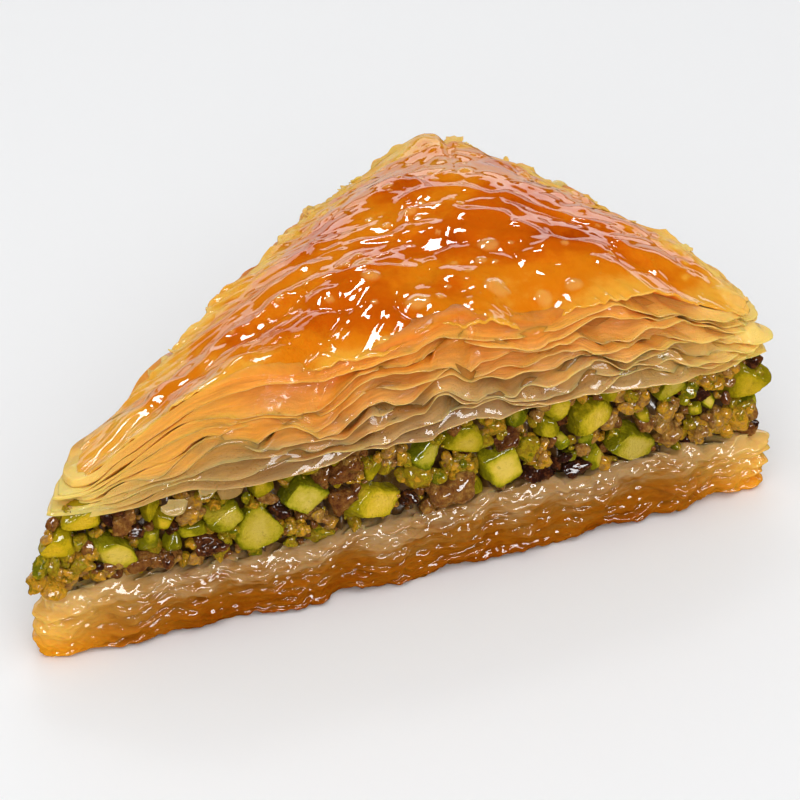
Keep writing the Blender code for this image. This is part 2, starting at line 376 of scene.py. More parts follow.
class Look:
    """A node material in the making. Noise is laid out in the object's own space."""

    def __init__(self, name):
        self.material = bpy.data.materials.new(name)
        self.material.use_nodes = True
        self.tree = self.material.node_tree
        self.shader = self.tree.nodes["Principled BSDF"]
        self.place = self.tree.nodes.new("ShaderNodeTexCoord").outputs["Object"]

    def node(self, kind, links=(), **settings):
        """A node with settings, and with links or values for its sockets by name or number."""
        made = self.tree.nodes.new(kind)
        for key, value in settings.items():
            setattr(made, key, value)
        for socket, value in dict(links).items():
            if isinstance(value, bpy.types.NodeSocket):
                self.tree.links.new(value, made.inputs[socket])
            else:
                made.inputs[socket].default_value = value
        return made

    def value(self, name):
        return self.node("ShaderNodeAttribute", attribute_name=name).outputs["Fac"]

    def levelled(self, level, step):
        """The object's space with a level, times a step in millimetres, for its height."""
        flat = self.node("ShaderNodeSeparateXYZ", {"Vector": self.place}).outputs
        height = self.maths("MULTIPLY", level, step * MM)
        return self.node("ShaderNodeCombineXYZ", {"X": flat["X"], "Y": flat["Y"], "Z": height}).outputs[0]

    def noise(self, length, detail=3.0, roughness=0.55, stretch=(1, 1, 1), space=None):
        """Noise whose lumps are about a length in millimetres, longer where it is stretched."""
        scale = [1 / s for s in stretch]
        place = self.node("ShaderNodeMapping", {"Vector": space or self.place, "Scale": scale})
        return self.node("ShaderNodeTexNoise", {
            "Vector": place.outputs[0], "Scale": 1 / (length * MM),
            "Detail": detail, "Roughness": roughness,
        }).outputs["Fac"]

    def cells(self, length, feature="SMOOTH_F1"):
        return self.node("ShaderNodeTexVoronoi", {
            "Vector": self.place, "Scale": 1 / (length * MM),
        }, feature=feature).outputs["Distance"]

    def ramp(self, share, stops):
        """Colours at places from 0 to 1."""
        made = self.node("ShaderNodeValToRGB", {"Fac": share})
        made.color_ramp.interpolation = "EASE"
        spots = made.color_ramp.elements
        while len(spots) < len(stops):
            spots.new(0.5)
        for spot, (at, colour) in zip(spots, stops):
            spot.position = at
            spot.color = (*colour, 1.0)
        return made.outputs["Color"]

    def mix(self, share, a, b, blend_type="MIX"):
        made = self.node("ShaderNodeMix", data_type="RGBA", blend_type=blend_type)
        for socket, value in ((0, share), (6, a), (7, b)):
            if isinstance(value, bpy.types.NodeSocket):
                self.tree.links.new(value, made.inputs[socket])
            elif socket == 0:
                made.inputs[socket].default_value = value
            else:
                made.inputs[socket].default_value = (*value, 1.0)
        return made.outputs[2]

    def maths(self, operation, *values, clamp=False):
        made = self.node("ShaderNodeMath", dict(enumerate(values)), operation=operation)
        made.use_clamp = clamp
        return made.outputs[0]

    def span(self, value, low, high, to_low=0.0, to_high=1.0):
        """The value's place between low and high, mapped to another span."""
        return self.node("ShaderNodeMapRange", {
            "Value": value, "From Min": low, "From Max": high, "To Min": to_low, "To Max": to_high,
        }).outputs["Result"]

    def ridge(self, noise):
        """Noise folded over at its middle, with creases where it passes through it."""
        return self.maths("ABSOLUTE", self.maths("SUBTRACT", noise, 0.5))

    def bump(self, height, depth, under=None):
        """A relief of a depth in millimetres, over another one."""
        links = {"Height": height, "Distance": depth * MM, "Strength": 1.0}
        if under is not None:
            links["Normal"] = under
        return self.node("ShaderNodeBump", links).outputs["Normal"]

    def finish(self, colour, normal, roughness, coat, **settings):
        """Joins the shader's inputs. The other settings are the same all over."""
        inputs = {"Base Color": colour, "Normal": normal, "Roughness": roughness, "Coat Weight": coat}
        for socket, value in inputs.items():
            if isinstance(value, bpy.types.NodeSocket):
                self.tree.links.new(value, self.shader.inputs[socket])
            else:
                self.shader.inputs[socket].default_value = value
        for name, value in settings.items():
            socket = name.replace("_", " ").title().replace("Ior", "IOR")
            self.shader.inputs[socket].default_value = value
        return self.material


def skin_look():
    """Baked pastry skin under a clear syrup glaze: yellow edges, amber, deep orange crown."""
    look = Look("glazed_skin")
    tone = look.value("tone")
    blister = look.value("blister")
    mottle = look.noise(7.0, detail=5)
    fine = look.noise(1.4, detail=4, roughness=0.6)
    tone = look.maths("ADD", tone, look.span(mottle, 0.3, 0.7, -0.14, 0.14))
    tone = look.maths("ADD", tone, look.span(fine, 0.3, 0.7, -0.045, 0.045))
    colour = look.ramp(tone, [
        (0.0, (0.95, 0.56, 0.125)),
        (0.22, (0.86, 0.38, 0.036)),
        (0.48, (0.75, 0.205, 0.005)),
        (0.74, (0.62, 0.110, 0.002)),
        (1.0, (0.42, 0.050, 0.001)),
    ])
    pale = look.mix(0.5, colour, (0.82, 0.42, 0.10))
    colour = look.mix(blister, colour, pale)
    grain = look.bump(look.noise(0.45, detail=2), 0.026)
    fine_folds = look.bump(look.ridge(look.noise(0.8, detail=3, roughness=0.6)), 0.075, grain)
    crumple = look.bump(look.ridge(look.noise(2.2, detail=4, roughness=0.6)), 0.060, fine_folds)
    pimples = look.span(look.cells(0.9), 0.0, 0.35, 1.0, 0.0)
    pimples = look.maths("MULTIPLY", pimples, look.span(look.noise(3.0), 0.53, 0.63))
    blisters = look.bump(pimples, 0.10, crumple)
    flaky = look.maths("MULTIPLY", look.noise(0.9, detail=4, roughness=0.65), look.span(look.value("glaze"), 0.2, 0.9, 1.0, 0.0))
    relief = look.bump(flaky, 0.30, blisters)
    return look.finish(
        colour, relief, 0.45, subsurface_weight=0.30,
        subsurface_radius=(1.0, 0.35, 0.08), subsurface_scale=1.2 * MM,
        coat=look.value("glaze"), coat_roughness=0.02, coat_ior=1.45,
        specular_ior_level=0.0,
    )


def leaf_look():
    """Thin baked leaves: pale lips with a painted highlight along them, painted shade (darker, more orange) where
    they run in under each other, moist below.
    """
    look = Look("pastry_leaves")
    deep = look.value("deep")
    rise = look.value("rise")
    tip = look.value("tip")
    layers = look.levelled(look.value("level"), 2.0)
    mottle = look.noise(5.0, detail=3, stretch=(1.8, 1.8, 0.5))
    rise = look.maths("ADD", rise, look.span(mottle, 0.3, 0.7, -0.14, 0.14))
    lip = look.ramp(rise, [
        (0.0, (0.50, 0.320, 0.128)),
        (0.28, (0.62, 0.380, 0.140)),
        (0.58, (0.86, 0.42, 0.095)),
        (1.0, (0.92, 0.38, 0.050)),
    ])
    # painted shade: the colours a leaf's face takes deep in under the leaf above, darker and more orange than at
    # its lip
    recess_shade = look.ramp(rise, [
        (0.0, (0.24, 0.105, 0.028)),
        (0.28, (0.35, 0.145, 0.024)),
        (0.58, (0.64, 0.215, 0.018)),
        (1.0, (0.74, 0.205, 0.008)),
    ])
    colour = look.mix(deep, lip, recess_shade)
    glazed = look.maths("MULTIPLY", look.value("stuck"), look.span(rise, 0.25, 0.60, 0.0, 0.9))
    colour = look.mix(glazed, colour, (0.84, 0.300, 0.020))
    streaks = look.noise(1.0, detail=4, roughness=0.6, stretch=(6, 6, 0.5), space=layers)
    colour = look.mix(1.0, colour, look.ramp(streaks, [(0.3, (0.86, 0.83, 0.80)), (0.7, (1.16, 1.18, 1.20))]), "MULTIPLY")
    # painted highlight: a paler line along the very lip of each leaf
    edge = look.span(deep, 0.0, 0.10, 0.5, 0.0)
    colour = look.mix(edge, colour, (0.97, 0.57, 0.22))
    colour = look.mix(look.maths("MULTIPLY", tip, 1.15, clamp=True), colour, (1.0, 0.64, 0.165))
    brown = look.span(look.noise(2.2, detail=4, stretch=(2, 2, 0.4)), 0.66, 0.78, 0.0, 0.35)
    colour = look.mix(brown, colour, (0.55, 0.17, 0.02))
    beads = look.span(look.cells(0.32), 0.0, 0.3, 1.0, 0.0)
    at_lip = look.span(deep, 0.05, 0.5, 1.0, 0.0)
    moist = look.span(rise, 0.15, 0.45, 1.0, 0.15)
    grain = look.bump(look.maths("MULTIPLY", beads, look.maths("MAXIMUM", at_lip, moist)), 0.14)
    lines = look.bump(look.noise(1.0, detail=4, roughness=0.6, stretch=(6, 6, 0.4), space=layers), 0.16, grain)
    folds = look.bump(look.noise(1.0, detail=6, roughness=0.7, stretch=(1.5, 1.5, 0.8)), 0.22, lines)
    wet = look.span(rise, 0.10, 0.45, 0.65, 0.04)
    drops = look.span(look.noise(1.6, detail=5, roughness=0.7), 0.56, 0.62, 0.0, 0.8)
    return look.finish(
        colour, folds, 0.42, subsurface_weight=0.5,
        subsurface_radius=(1.0, 0.45, 0.12), subsurface_scale=1.5 * MM,
        coat=look.maths("MAXIMUM", wet, drops), coat_roughness=0.07, coat_ior=1.4,
        specular_ior_level=0.1,
    )


def base_look():
    """Soaked leaves: glassy, beige above, amber and caramel below, golden at the corners."""
    look = Look("soaked_base")
    rise = look.value("rise")
    tip = look.value("tip")
    streaks = look.noise(2.4, detail=4, roughness=0.6, stretch=(3.5, 3.5, 0.4))
    patch = look.noise(7.0, detail=3)
    share = look.maths("ADD", rise, look.span(streaks, 0.3, 0.7, -0.22, 0.22))
    share = look.maths("ADD", share, look.span(patch, 0.3, 0.7, -0.18, 0.18))
    colour = look.ramp(share, [
        (0.0, (0.27, 0.065, 0.002)),
        (0.35, (0.34, 0.10, 0.004)),
        (0.62, (0.33, 0.125, 0.014)),
        (0.85, (0.42, 0.23, 0.08)),
        (1.0, (0.46, 0.28, 0.12)),
    ])
    dark = look.span(look.noise(3.0, detail=3, stretch=(2.0, 2.0, 0.6)), 0.58, 0.72, 0.0, 0.6)
    colour = look.mix(dark, colour, (0.20, 0.055, 0.004))
    ends = look.ramp(rise, [(0.1, (0.86, 0.33, 0.016)), (0.6, (0.84, 0.46, 0.085)), (1.0, (0.80, 0.50, 0.16))])
    colour = look.mix(look.maths("MULTIPLY", tip, 1.0, clamp=True), colour, ends)
    folds = look.bump(look.ridge(look.noise(2.2, detail=3, stretch=(3.5, 3.5, 0.6))), 0.5)
    ripples = look.bump(look.ridge(look.noise(0.8, detail=4, stretch=(3.0, 3.0, 0.6))), 0.34, folds)
    wet = look.bump(look.noise(0.5, detail=2), 0.08, ripples)
    return look.finish(
        colour, wet, 0.30, subsurface_weight=0.5,
        subsurface_radius=(1.0, 0.45, 0.12), subsurface_scale=1.6 * MM,
        coat=0.9, coat_roughness=0.03, coat_ior=1.42, specular_ior_level=0.0,
    )


def pistachio_look():
    """Cut nut flesh: pale yellow-green inside, vivid green towards the rim, dark skin."""
    look = Look("pistachio_flesh")
    inside = look.value("inside")
    shade = look.value("shade")
    ripe = look.value("ripe")
    inside = look.maths("ADD", inside, look.span(look.noise(1.4, detail=5), 0.3, 0.7, -0.10, 0.10))
    inside = look.maths("ADD", inside, look.span(look.noise(0.5, detail=3), 0.3, 0.7, -0.05, 0.05))
    green = look.ramp(inside, [
        (0.0, (0.125, 0.138, 0.004)),
        (0.06, (0.22, 0.225, 0.006)),
        (0.14, (0.37, 0.345, 0.014)),
        (0.28, (0.58, 0.47, 0.050)),
        (0.5, (0.72, 0.56, 0.120)),
    ])
    yellow = look.ramp(inside, [
        (0.0, (0.34, 0.255, 0.005)),
        (0.12, (0.54, 0.37, 0.009)),
        (0.36, (0.70, 0.44, 0.018)),
        (0.7, (0.76, 0.48, 0.060)),
    ])
    colour = look.mix(ripe, green, yellow)
    shading = look.ramp(shade, [(0, (0.80, 0.81, 0.74)), (1, (1.14, 1.10, 1.04))])
    colour = look.mix(1.0, colour, shading, "MULTIPLY")
    veins = look.span(look.noise(0.9, detail=5, roughness=0.7), 0.58, 0.70, 0.0, 0.45)
    colour = look.mix(veins, colour, (0.17, 0.12, 0.008))
    lumps = look.bump(look.ridge(look.noise(1.5, detail=4, roughness=0.65)), 0.75)
    grain = look.bump(look.noise(0.45, detail=3), 0.16, lumps)
    return look.finish(
        colour, grain, 0.35, subsurface_weight=0.20,
        subsurface_radius=(0.8, 0.8, 0.12), subsurface_scale=0.7 * MM,
        coat=0.8, coat_roughness=0.05, coat_ior=1.42, specular_ior_level=0.0,
    )


def crumb_look():
    """Small broken nut bits in syrup, from dark husk through tan to olive and green."""
    look = Look("nut_crumbs")
    kind = look.value("kind")
    kind = look.maths("ADD", kind, look.span(look.noise(0.9, detail=5, roughness=0.65), 0.3, 0.7, -0.19, 0.19))
    colour = look.ramp(kind, [
        (0.0, (0.030, 0.009, 0.006)),
        (0.16, (0.12, 0.036, 0.011)),
        (0.34, (0.23, 0.088, 0.020)),
        (0.50, (0.40, 0.205, 0.045)),
        (0.65, (0.62, 0.300, 0.018)),
        (0.78, (0.28, 0.175, 0.010)),
        (0.90, (0.40, 0.28, 0.010)),
        (1.0, (0.15, 0.145, 0.005)),
    ])
    lumps = look.bump(look.ridge(look.noise(1.1, detail=4, roughness=0.65)), 0.70)
    grain = look.bump(look.cells(0.40), 0.20, lumps)
    return look.finish(
        colour, grain, 0.35, subsurface_weight=0.4,
        subsurface_radius=(1.0, 0.55, 0.15), subsurface_scale=0.9 * MM,
        coat=0.9, coat_roughness=0.05, coat_ior=1.42, specular_ior_level=0.0,
    )


def syrup_and_shade_look():
    """The wet ground between the nuts: near black, partly the syrup's own dark colour and partly painted shade in
    the gaps.
    """
    look = Look("syrup_and_painted_shade")
    colour = look.ramp(look.noise(2.0, detail=4), [
        (0.30, (0.030, 0.010, 0.004)),
        (0.55, (0.10, 0.045, 0.010)),
        (0.75, (0.22, 0.12, 0.025)),
    ])
    lumps = look.bump(look.noise(0.9, detail=3), 0.35)
    return look.finish(
        colour, lumps, 0.28, coat=0.9, coat_roughness=0.08, coat_ior=1.45,
    )


# ---------------------------------------------------------------- the soaked base

BASE_ROWS = 64
BASE_LEAVES = 7
BASE_UNDERCUT = 0.9
LEDGE_ROWS = (0.35, 1.0, 2.0, 3.5, 6.0)
SHOULDER = 1.3
SHOULDER_START = 0.74
TIP_JAGS = 11
TIP_JAG_DEPTH = 1.3
TIP_JAG_IN = 0.9
TIP_JAG_REACH = 3.4
BASE_SEED = 11


def soaked_base():
    """The base: one body whose side is pressed, syrup-soaked leaves, with a rough ledge on top."""
    chance = np.random.default_rng(BASE_SEED)
    tops = base_top_heights()
    tops += 0.25 * plan.ripple(chance, 14) + 0.15 * plan.ripple(chance, 5)
    feet = 0.30 * np.maximum(0, plan.ripple(chance, 11)) + 0.15 * np.maximum(0, plan.ripple(chance, 3))
    jags = chance.uniform(-1, 1, (TIP_JAGS + 1, len(TIP_TOPS)))
    thick = np.exp(0.35 * np.array([plan.ripple(chance, 22) for _ in range(BASE_LEAVES)]))
    seams = np.cumsum(thick, axis=0) / thick.sum(axis=0)
    seams = np.vstack([np.zeros(plan.count), seams])
    depth = np.array([
        np.clip(0.20 + 0.28 * plan.ripple(chance, 13), 0.0, 0.8) for _ in range(BASE_LEAVES + 1)
    ])
    stick_out = np.array([
        0.30 * plan.ripple(chance, 16) + 0.16 * plan.ripple(chance, 5) for _ in range(BASE_LEAVES)
    ])
    broad = [0.30 * plan.ripple(chance, 11) for _ in range(3)]
    fine = [plan.ripple(chance, 2.2) for _ in range(24)]
    rings, rises = [], []
    for row in range(BASE_ROWS + 1):
        rise = row / BASE_ROWS
        out = np.full(plan.count, -0.15)
        for leaf in range(BASE_LEAVES):
            low, high = seams[leaf], seams[leaf + 1]
            within = np.clip((rise - low) / (high - low), 0, 1)
            inside = (rise >= low) & (rise < high + 1e-9)
            lip = np.sqrt(np.maximum(0, 1 - (2 * within - 1) ** 2))
            groove = np.where(within < 0.5, depth[leaf], depth[leaf + 1])
            ease = np.sin(math.pi * within) ** 0.5
            out = np.where(inside, out - groove * (1 - lip) + stick_out[leaf] * ease, out)
        slow = broad[0] * (1 - rise) + broad[1] * math.sin(math.pi * rise) + broad[2] * rise
        level = rise * (len(fine) - 1)
        below = int(min(level, len(fine) - 2))
        grain = fine[below] * (1 - (level - below)) + fine[below + 1] * (level - below)
        rounded = BASE_UNDERCUT * (1 - min(1.0, rise / 0.10)) ** 2
        shoulder = SHOULDER * max(0.0, (rise - SHOULDER_START) / (1 - SHOULDER_START)) ** 2
        jag = [np.interp(rise * TIP_JAGS, range(TIP_JAGS + 1), column) for column in jags.T]
        out = out + slow + 0.09 * grain - rounded - shoulder
        out = out + plan.ends(TIP_JAG_REACH) * (TIP_JAG_DEPTH * np.take(jag, plan.tip) - TIP_JAG_IN)
        heights = feet + (tops - feet) * rise
        rings.append(plan.ring(out, heights))
        rises.append(np.full(plan.count, rise))
    ledge = 0.22 * swell(chance, *plan.points.T, 6.0)
    for inwards in LEDGE_ROWS:
        dip = 0.10 * plan.ripple(chance, 4)
        height = tops + dip + 0.25 * ledge - 0.04 * inwards
        rings.append(plan.ring(-0.1 - SHOULDER, height, inwards=inwards))
        rises.append(np.full(plan.count, 1.0))
    under = plan.ring(-BASE_UNDERCUT, 0.0, inwards=1.6)
    rings.insert(0, under)
    rises.insert(0, np.zeros(plan.count))
    rows = len(rings)
    points = np.concatenate(rings + [[(0, 0, 0.0), (0, 0, BASE_TOP - 0.4)]])
    hub = rows * plan.count
    faces = [
        band_faces(rows, plan.count),
        cap_faces(0, plan.count, hub, flipped=True),
        cap_faces((rows - 1) * plan.count, plan.count, hub + 1, flipped=False),
    ]
    tip = np.tile(1.1 * np.exp(-((plan.from_tip / 8.0) ** 1.6)), rows)
    values = {
        "rise": np.append(np.concatenate(rises), (0, 1)),
        "tip": np.append(tip, (0, 0)),
    }
    make_piece("soaked_base", points, faces, values, base_look(), "pastry_base")


# ---------------------------------------------------------------- the top's leaves

TOP_LEAVES = 9
TOP_OUT = 1.6
TOP_LEAN = (2.4, 0.7, 0.7)
LEAF_THICKNESS = 0.20
LEAF_TOUCH = 0.30
LEAF_SWAY = 1.0
LEAF_FACE = 1.1
LEAF_INSIDE = 6.0
LEAF_SHARES = (0.0, 0.06, 0.18, 0.34, 0.52, 0.70, 0.86, 1.02, 1.2)
LEAF_CLIMB = 1.7
LEAF_SEED = 23
LEAF_TIP_FADE = 10.0
CORE_IN = 4.0
CORE_SHARES = (0.0, 0.15, 0.35, 0.6, 0.8)

# The stretch at the left corner where syrup has glued the leaves together.
GLUED_LENGTH = 36.0
GLUED_BLEND = 6.0

# At the left corner: how far each leaf reaches past the rest, from the lowest up, how far
# the top is drawn in there and at the other two.
LEFT_REACHES = (1.6, 4.0, 3.0, 0.2, -0.4, 1.2, 3.4, 2.4, 0.6)
LEFT_REACH_BLEND = 1.3
TOP_TIPS_IN = (1.6, 0.6, 0.4)
TOP_TIP_REACH = 7.0
LEFT_TIP_HANG = 1.6
LEFT_TIP_HANG_REACH = 9.0

# Where leaves stand apart: place on the front from the middle of the piece, which leaf is
# under the gap counted from the skin down, the gap's reach along the front, its height, and
# how far in it goes.
CAVITIES = (
    (-36.0, 1, 8.0, 2.4, 3.0),
    (-17.5, 3, 5.5, 0.9, 1.8),
    (-6.5, 5, 5.0, 1.2, 2.2),
    (-1.0, 3, 5.0, 1.0, 1.8),
    (8.3, 2, 5.5, 2.2, 3.2),
    (18.5, 0, 6.0, 2.6, 3.4),
    (13.0, 5, 5.0, 1.2, 2.4),
    (21.5, 3, 4.5, 1.2, 2.6),
    (27.0, 1, 4.0, 0.9, 2.0),
    (-24.0, 5, 5.0, 0.8, 1.6),
    (2.0, 5, 5.0, 1.4, 2.6),
)


def tips_in():
    """How far the top is drawn in at the corners' ends."""
    return np.take(TOP_TIPS_IN, plan.tip) * plan.ends(TOP_TIP_REACH)


def glued_share():
    """One where the leaves are stuck together at the left corner, nothing further along."""
    run = np.minimum(plan.runs, plan.length - plan.runs)
    return 1 / (1 + np.exp((run - GLUED_LENGTH) / GLUED_BLEND))


def settled(levels, lowest, highest, touch):
    """The levels in order and at least a touch apart, between the lowest and the highest."""
    levels = [np.maximum(levels[0], lowest), *levels[1:]]
    for k in range(1, len(levels)):
        lift = levels[k - 1] + touch - levels[k]
        levels[k] = levels[k] + 0.12 * np.logaddexp(0, lift / 0.12)
    for k in range(len(levels) - 1, -1, -1):
        limit = highest if k == len(levels) - 1 else levels[k + 1]
        levels[k] = np.minimum(levels[k], limit - touch)
    return levels


def leaf_edges(chance, lows, highs, glued):
    """The heights of the leaves' edges, which sway, touch and part."""
    room = highs - lows
    loose = np.clip(room / 12.0, 0.12, 1.0) * (1 - 0.35 * glued)
    edges = []
    for leaf in range(TOP_LEAVES):
        even = lows + room * (leaf + 0.35) / (TOP_LEAVES + 0.35)
        sway = 0.7 * plan.ripple(chance, 30) + 0.6 * plan.ripple(chance, 15)
        sway += (0.26 * plan.ripple(chance, 7) + 0.10 * plan.ripple(chance, 3.5)) * (1 - 0.7 * glued)
        edge = even + LEAF_SWAY * loose * sway * math.sin(math.pi * (leaf + 1.2) / (TOP_LEAVES + 1.4))
        for place, from_top, reach, height, _ in CAVITIES:
            under = TOP_LEAVES - 1 - from_top
            near = plan.near(plan.front_run(place), reach)
            if leaf <= under:
                edge = edge - height * 0.75 * near * math.exp(-(under - leaf) / 2.5)
            else:
                edge = edge + height * 0.45 * near * math.exp(-(leaf - under - 1) / 2.5)
        edges.append(edge)
    touch = np.minimum(LEAF_TOUCH, 0.8 * room / (TOP_LEAVES + 1))
    return settled(edges, lows, highs, touch), touch


def leaf_depths(chance, leaf, glued):
    """How far in a leaf's face runs before it meets the leaf above."""
    reach = LEAF_FACE * np.exp(0.35 * plan.ripple(chance, 11)) * (1 - 0.86 * glued)
    reach *= 1 - 0.6 * np.exp(-plan.tip_distances[0] / LEAF_TIP_FADE)
    for place, from_top, along, _, depth in CAVITIES:
        if leaf == TOP_LEAVES - 1 - from_top:
            reach = reach + depth * plan.near(plan.front_run(place), along)
    return reach


def top_core(lows, highs, material):
    """The body behind the leaves and under the skin."""
    rings = [plan.ring(0.0, lows, inwards=CORE_IN)]
    for share in CORE_SHARES:
        climb = 1 - (1 - share) ** DOME_POWER
        ring = plan.ring(0.0, highs - 1.0, inwards=CORE_IN)
        lifted = ring[:, 2] + (CROWN_TOP - 2.0 - ring[:, 2]) * climb
        rings.append(np.column_stack([ring[:, :2] * (1 - share), lifted]))
    rows = len(rings)
    points = np.concatenate(rings + [[(0, 0, FILLING_TOP), (0, 0, CROWN_TOP - 2.0)]])
    hub = rows * plan.count
    faces = [
        band_faces(rows, plan.count),
        cap_faces(0, plan.count, hub, flipped=True),
        cap_faces((rows - 1) * plan.count, plan.count, hub + 1, flipped=False),
    ]
    # every point of the core takes the leaves' full painted recess shade
    values = {
        "deep": np.ones(len(points)), "rise": np.full(len(points), 0.5), "tip": np.zeros(len(points)),
    }
    make_piece("top_core", points, faces, values, material, "pastry_top")


def top_leaves():
    """The leaves under the skin: rings whose thin lips stand out and whose faces climb inwards."""
    chance = np.random.default_rng(LEAF_SEED)
    glued = glued_share()
    hang = LEFT_TIP_HANG * np.exp(-((plan.tip_distances[0] / LEFT_TIP_HANG_REACH) ** 2))
    lows, highs = filling_top_heights() + 0.2 - hang, edge_top_heights() - 0.3
    edges, touch = leaf_edges(chance, lows, highs, glued)
    lean = by_side(TOP_LEAN)
    material = leaf_look()
    frayed = 1 - 0.8 * glued + 1.2 * np.exp(-plan.from_tip / 2.5)
    reaches = np.array([LEFT_REACHES, *chance.uniform(-2.2, 0.8, (2, TOP_LEAVES))])
    at_corner = np.exp(-plan.from_tip / LEFT_REACH_BLEND)
    for group, (first, last) in enumerate(((0, 5), (5, TOP_LEAVES))):
        heap = Heap()
        for leaf in range(first, last):
            rise = (leaf + 0.5) / TOP_LEAVES
            out = TOP_OUT - lean * rise
            out += (0.42 * plan.ripple(chance, 20) + 0.24 * plan.ripple(chance, 8)) * (1 - 0.85 * glued)
            out += frayed * (plan.torn(chance, 3.5, 0.20) + plan.torn(chance, 0.9, 0.09))
            out += np.take(reaches[:, leaf], plan.tip) * at_corner
            thick = np.minimum(LEAF_THICKNESS * (1 + 0.3 * plan.ripple(chance, 12)), 0.8 * touch)
            ceiling = edges[leaf + 1] - thick if leaf + 1 < TOP_LEAVES else highs + 0.2 + 0.35 * glued
            depth = leaf_depths(chance, leaf, glued)
            rings, deep, level = [], [], []

            def row(inwards, height, deepness):
                rings.append(plan.ring(out, height, SKIN_DRAWN_IN, inwards=tips_in() + inwards))
                level.append(np.full(plan.count, leaf + min(1.0, deepness)))
                # deep sets how much of the leaves' painted recess shade a point takes; the glued stretch takes
                # more of it
                deep.append(np.minimum(deepness + 0.5 * glued * min(1.0, 8 * deepness), 1.0))

            for share in LEAF_SHARES:
                rounding = 0.5 * thick * (1 - min(1.0, share / 0.12)) ** 2
                climb = share ** (LEAF_CLIMB - (LEAF_CLIMB - 0.8) * glued)
                height = edges[leaf] - rounding + (ceiling - edges[leaf]) * climb
                row(share * depth, height, min(1.0, share))
            row(LEAF_INSIDE, ceiling + 0.1, 1.0)
            row(LEAF_INSIDE, edges[leaf] - thick, 1.0)
            row(0.7, edges[leaf] - thick, 0.6)
            row(0.05, edges[leaf] - 0.8 * thick, 0.0)
            rows = len(rings)
            heap.add(
                np.concatenate(rings), band_faces(rows, plan.count, closed=True),
                deep=np.concatenate(deep), rise=np.full(rows * plan.count, rise),
                tip=np.tile(np.exp(-plan.from_tip / LEAF_TIP_FADE), rows),
                stuck=np.tile(glued, rows), level=np.concatenate(level),
            )
        heap.piece(f"top_leaves_{group + 1}", material, "glazed_pastry", "pastry_top")
    top_core(lows, highs, material)
    return material


# ---------------------------------------------------------------- the glazed skin

SKIN_GRID = 300
SKIN_THICKNESS = 0.42
SKIN_SEED = 5
LIP_FADE = 5.0

# Long ridges in the skin: points along each, its height, and its half width.
SKIN_RIDGES = (
    (((-26.3, -0.9), (-22.8, -0.7), (-19.1, -0.6)), 0.35, 1.5),
    (((-29.9, -9.8), (-23.8, -8.4), (-18.5, -9.0), (-9.7, -10.0)), 0.45, 1.7),
    (((-17.4, 3.5), (-14.2, 0.9), (-9.2, -0.7), (-5.5, 1.3), (-0.4, 0.9), (3.7, -2.8)), 0.50, 1.9),
    (((-4.2, 11.9), (-3.2, 6.4), (0.5, 4.8), (4.6, 4.2)), 0.55, 2.0),
    (((7.6, 4.2), (11.9, 1.0), (15.3, -4.2)), 0.45, 1.5),
    (((4.9, 1.6), (7.8, -1.5), (8.3, -6.6)), 0.35, 1.2),
    (((5.4, -6.5), (7.8, -10.6), (14.1, -15.8), (18.4, -23.5)), 0.45, 1.4),
    (((-47.8, -17.7), (-43.4, -16.4), (-39.1, -12.3), (-32.2, -8.6), (-28.9, -7.3)), 0.45, 1.5),
    (((-54.2, -22.8), (-50.3, -17.7), (-48.7, -16.3)), 0.35, 1.2),
    (((16.3, -4.0), (18.5, -13.9), (20.0, -23.7)), 0.40, 1.4),
)

# Round blisters, and dimples where the height is negative: place, radius and height.
SKIN_BLISTERS = (
    (-21.2, -24.2, 1.5, 0.55),
    (-40.2, -28.0, 1.1, 0.40),
    (-3.7, -18.7, 1.8, 0.50),
    (-0.5, -9.3, 1.6, 0.40),
    (-14.7, -18.7, 1.8, 0.50),
    (-17.6, -7.7, 1.7, 0.30),
    (1.2, 9.6, 3.4, -0.80),
    (-8.5, -3.8, 2.2, -0.35),
    (10.2, -9.7, 3.4, -0.60),
)

# Patches that browned more or less than the rest: place, reach and difference.
SKIN_PATCHES = (
    (9.7, -9.7, 5.0, 0.24),
    (-19.1, -20.1, 6.0, 0.24),
    (-4.3, -7.1, 4.5, 0.20),
    (-31.4, -18.5, 6.0, 0.14),
    (14.0, 2.0, 4.5, 0.16),
    (16.0, -9.0, 9.0, 0.17),
    (-11.5, 4.6, 4.0, -0.14),
    (-10.5, -13.7, 3.2, -0.16),
    (-4.1, -17.7, 4.0, -0.16),
    (4.1, 12.7, 4.0, -0.12),
    (10.8, -24.8, 5.0, -0.12),
    (-21.2, -24.2, 1.5, -0.25),
    (-14.7, -18.7, 1.8, -0.20),
)


# The stretch of the front's lip with little syrup on it: place, reach and how much less.
DULL_LIP = (-33.5, -20.5, 8.0, 0.8)


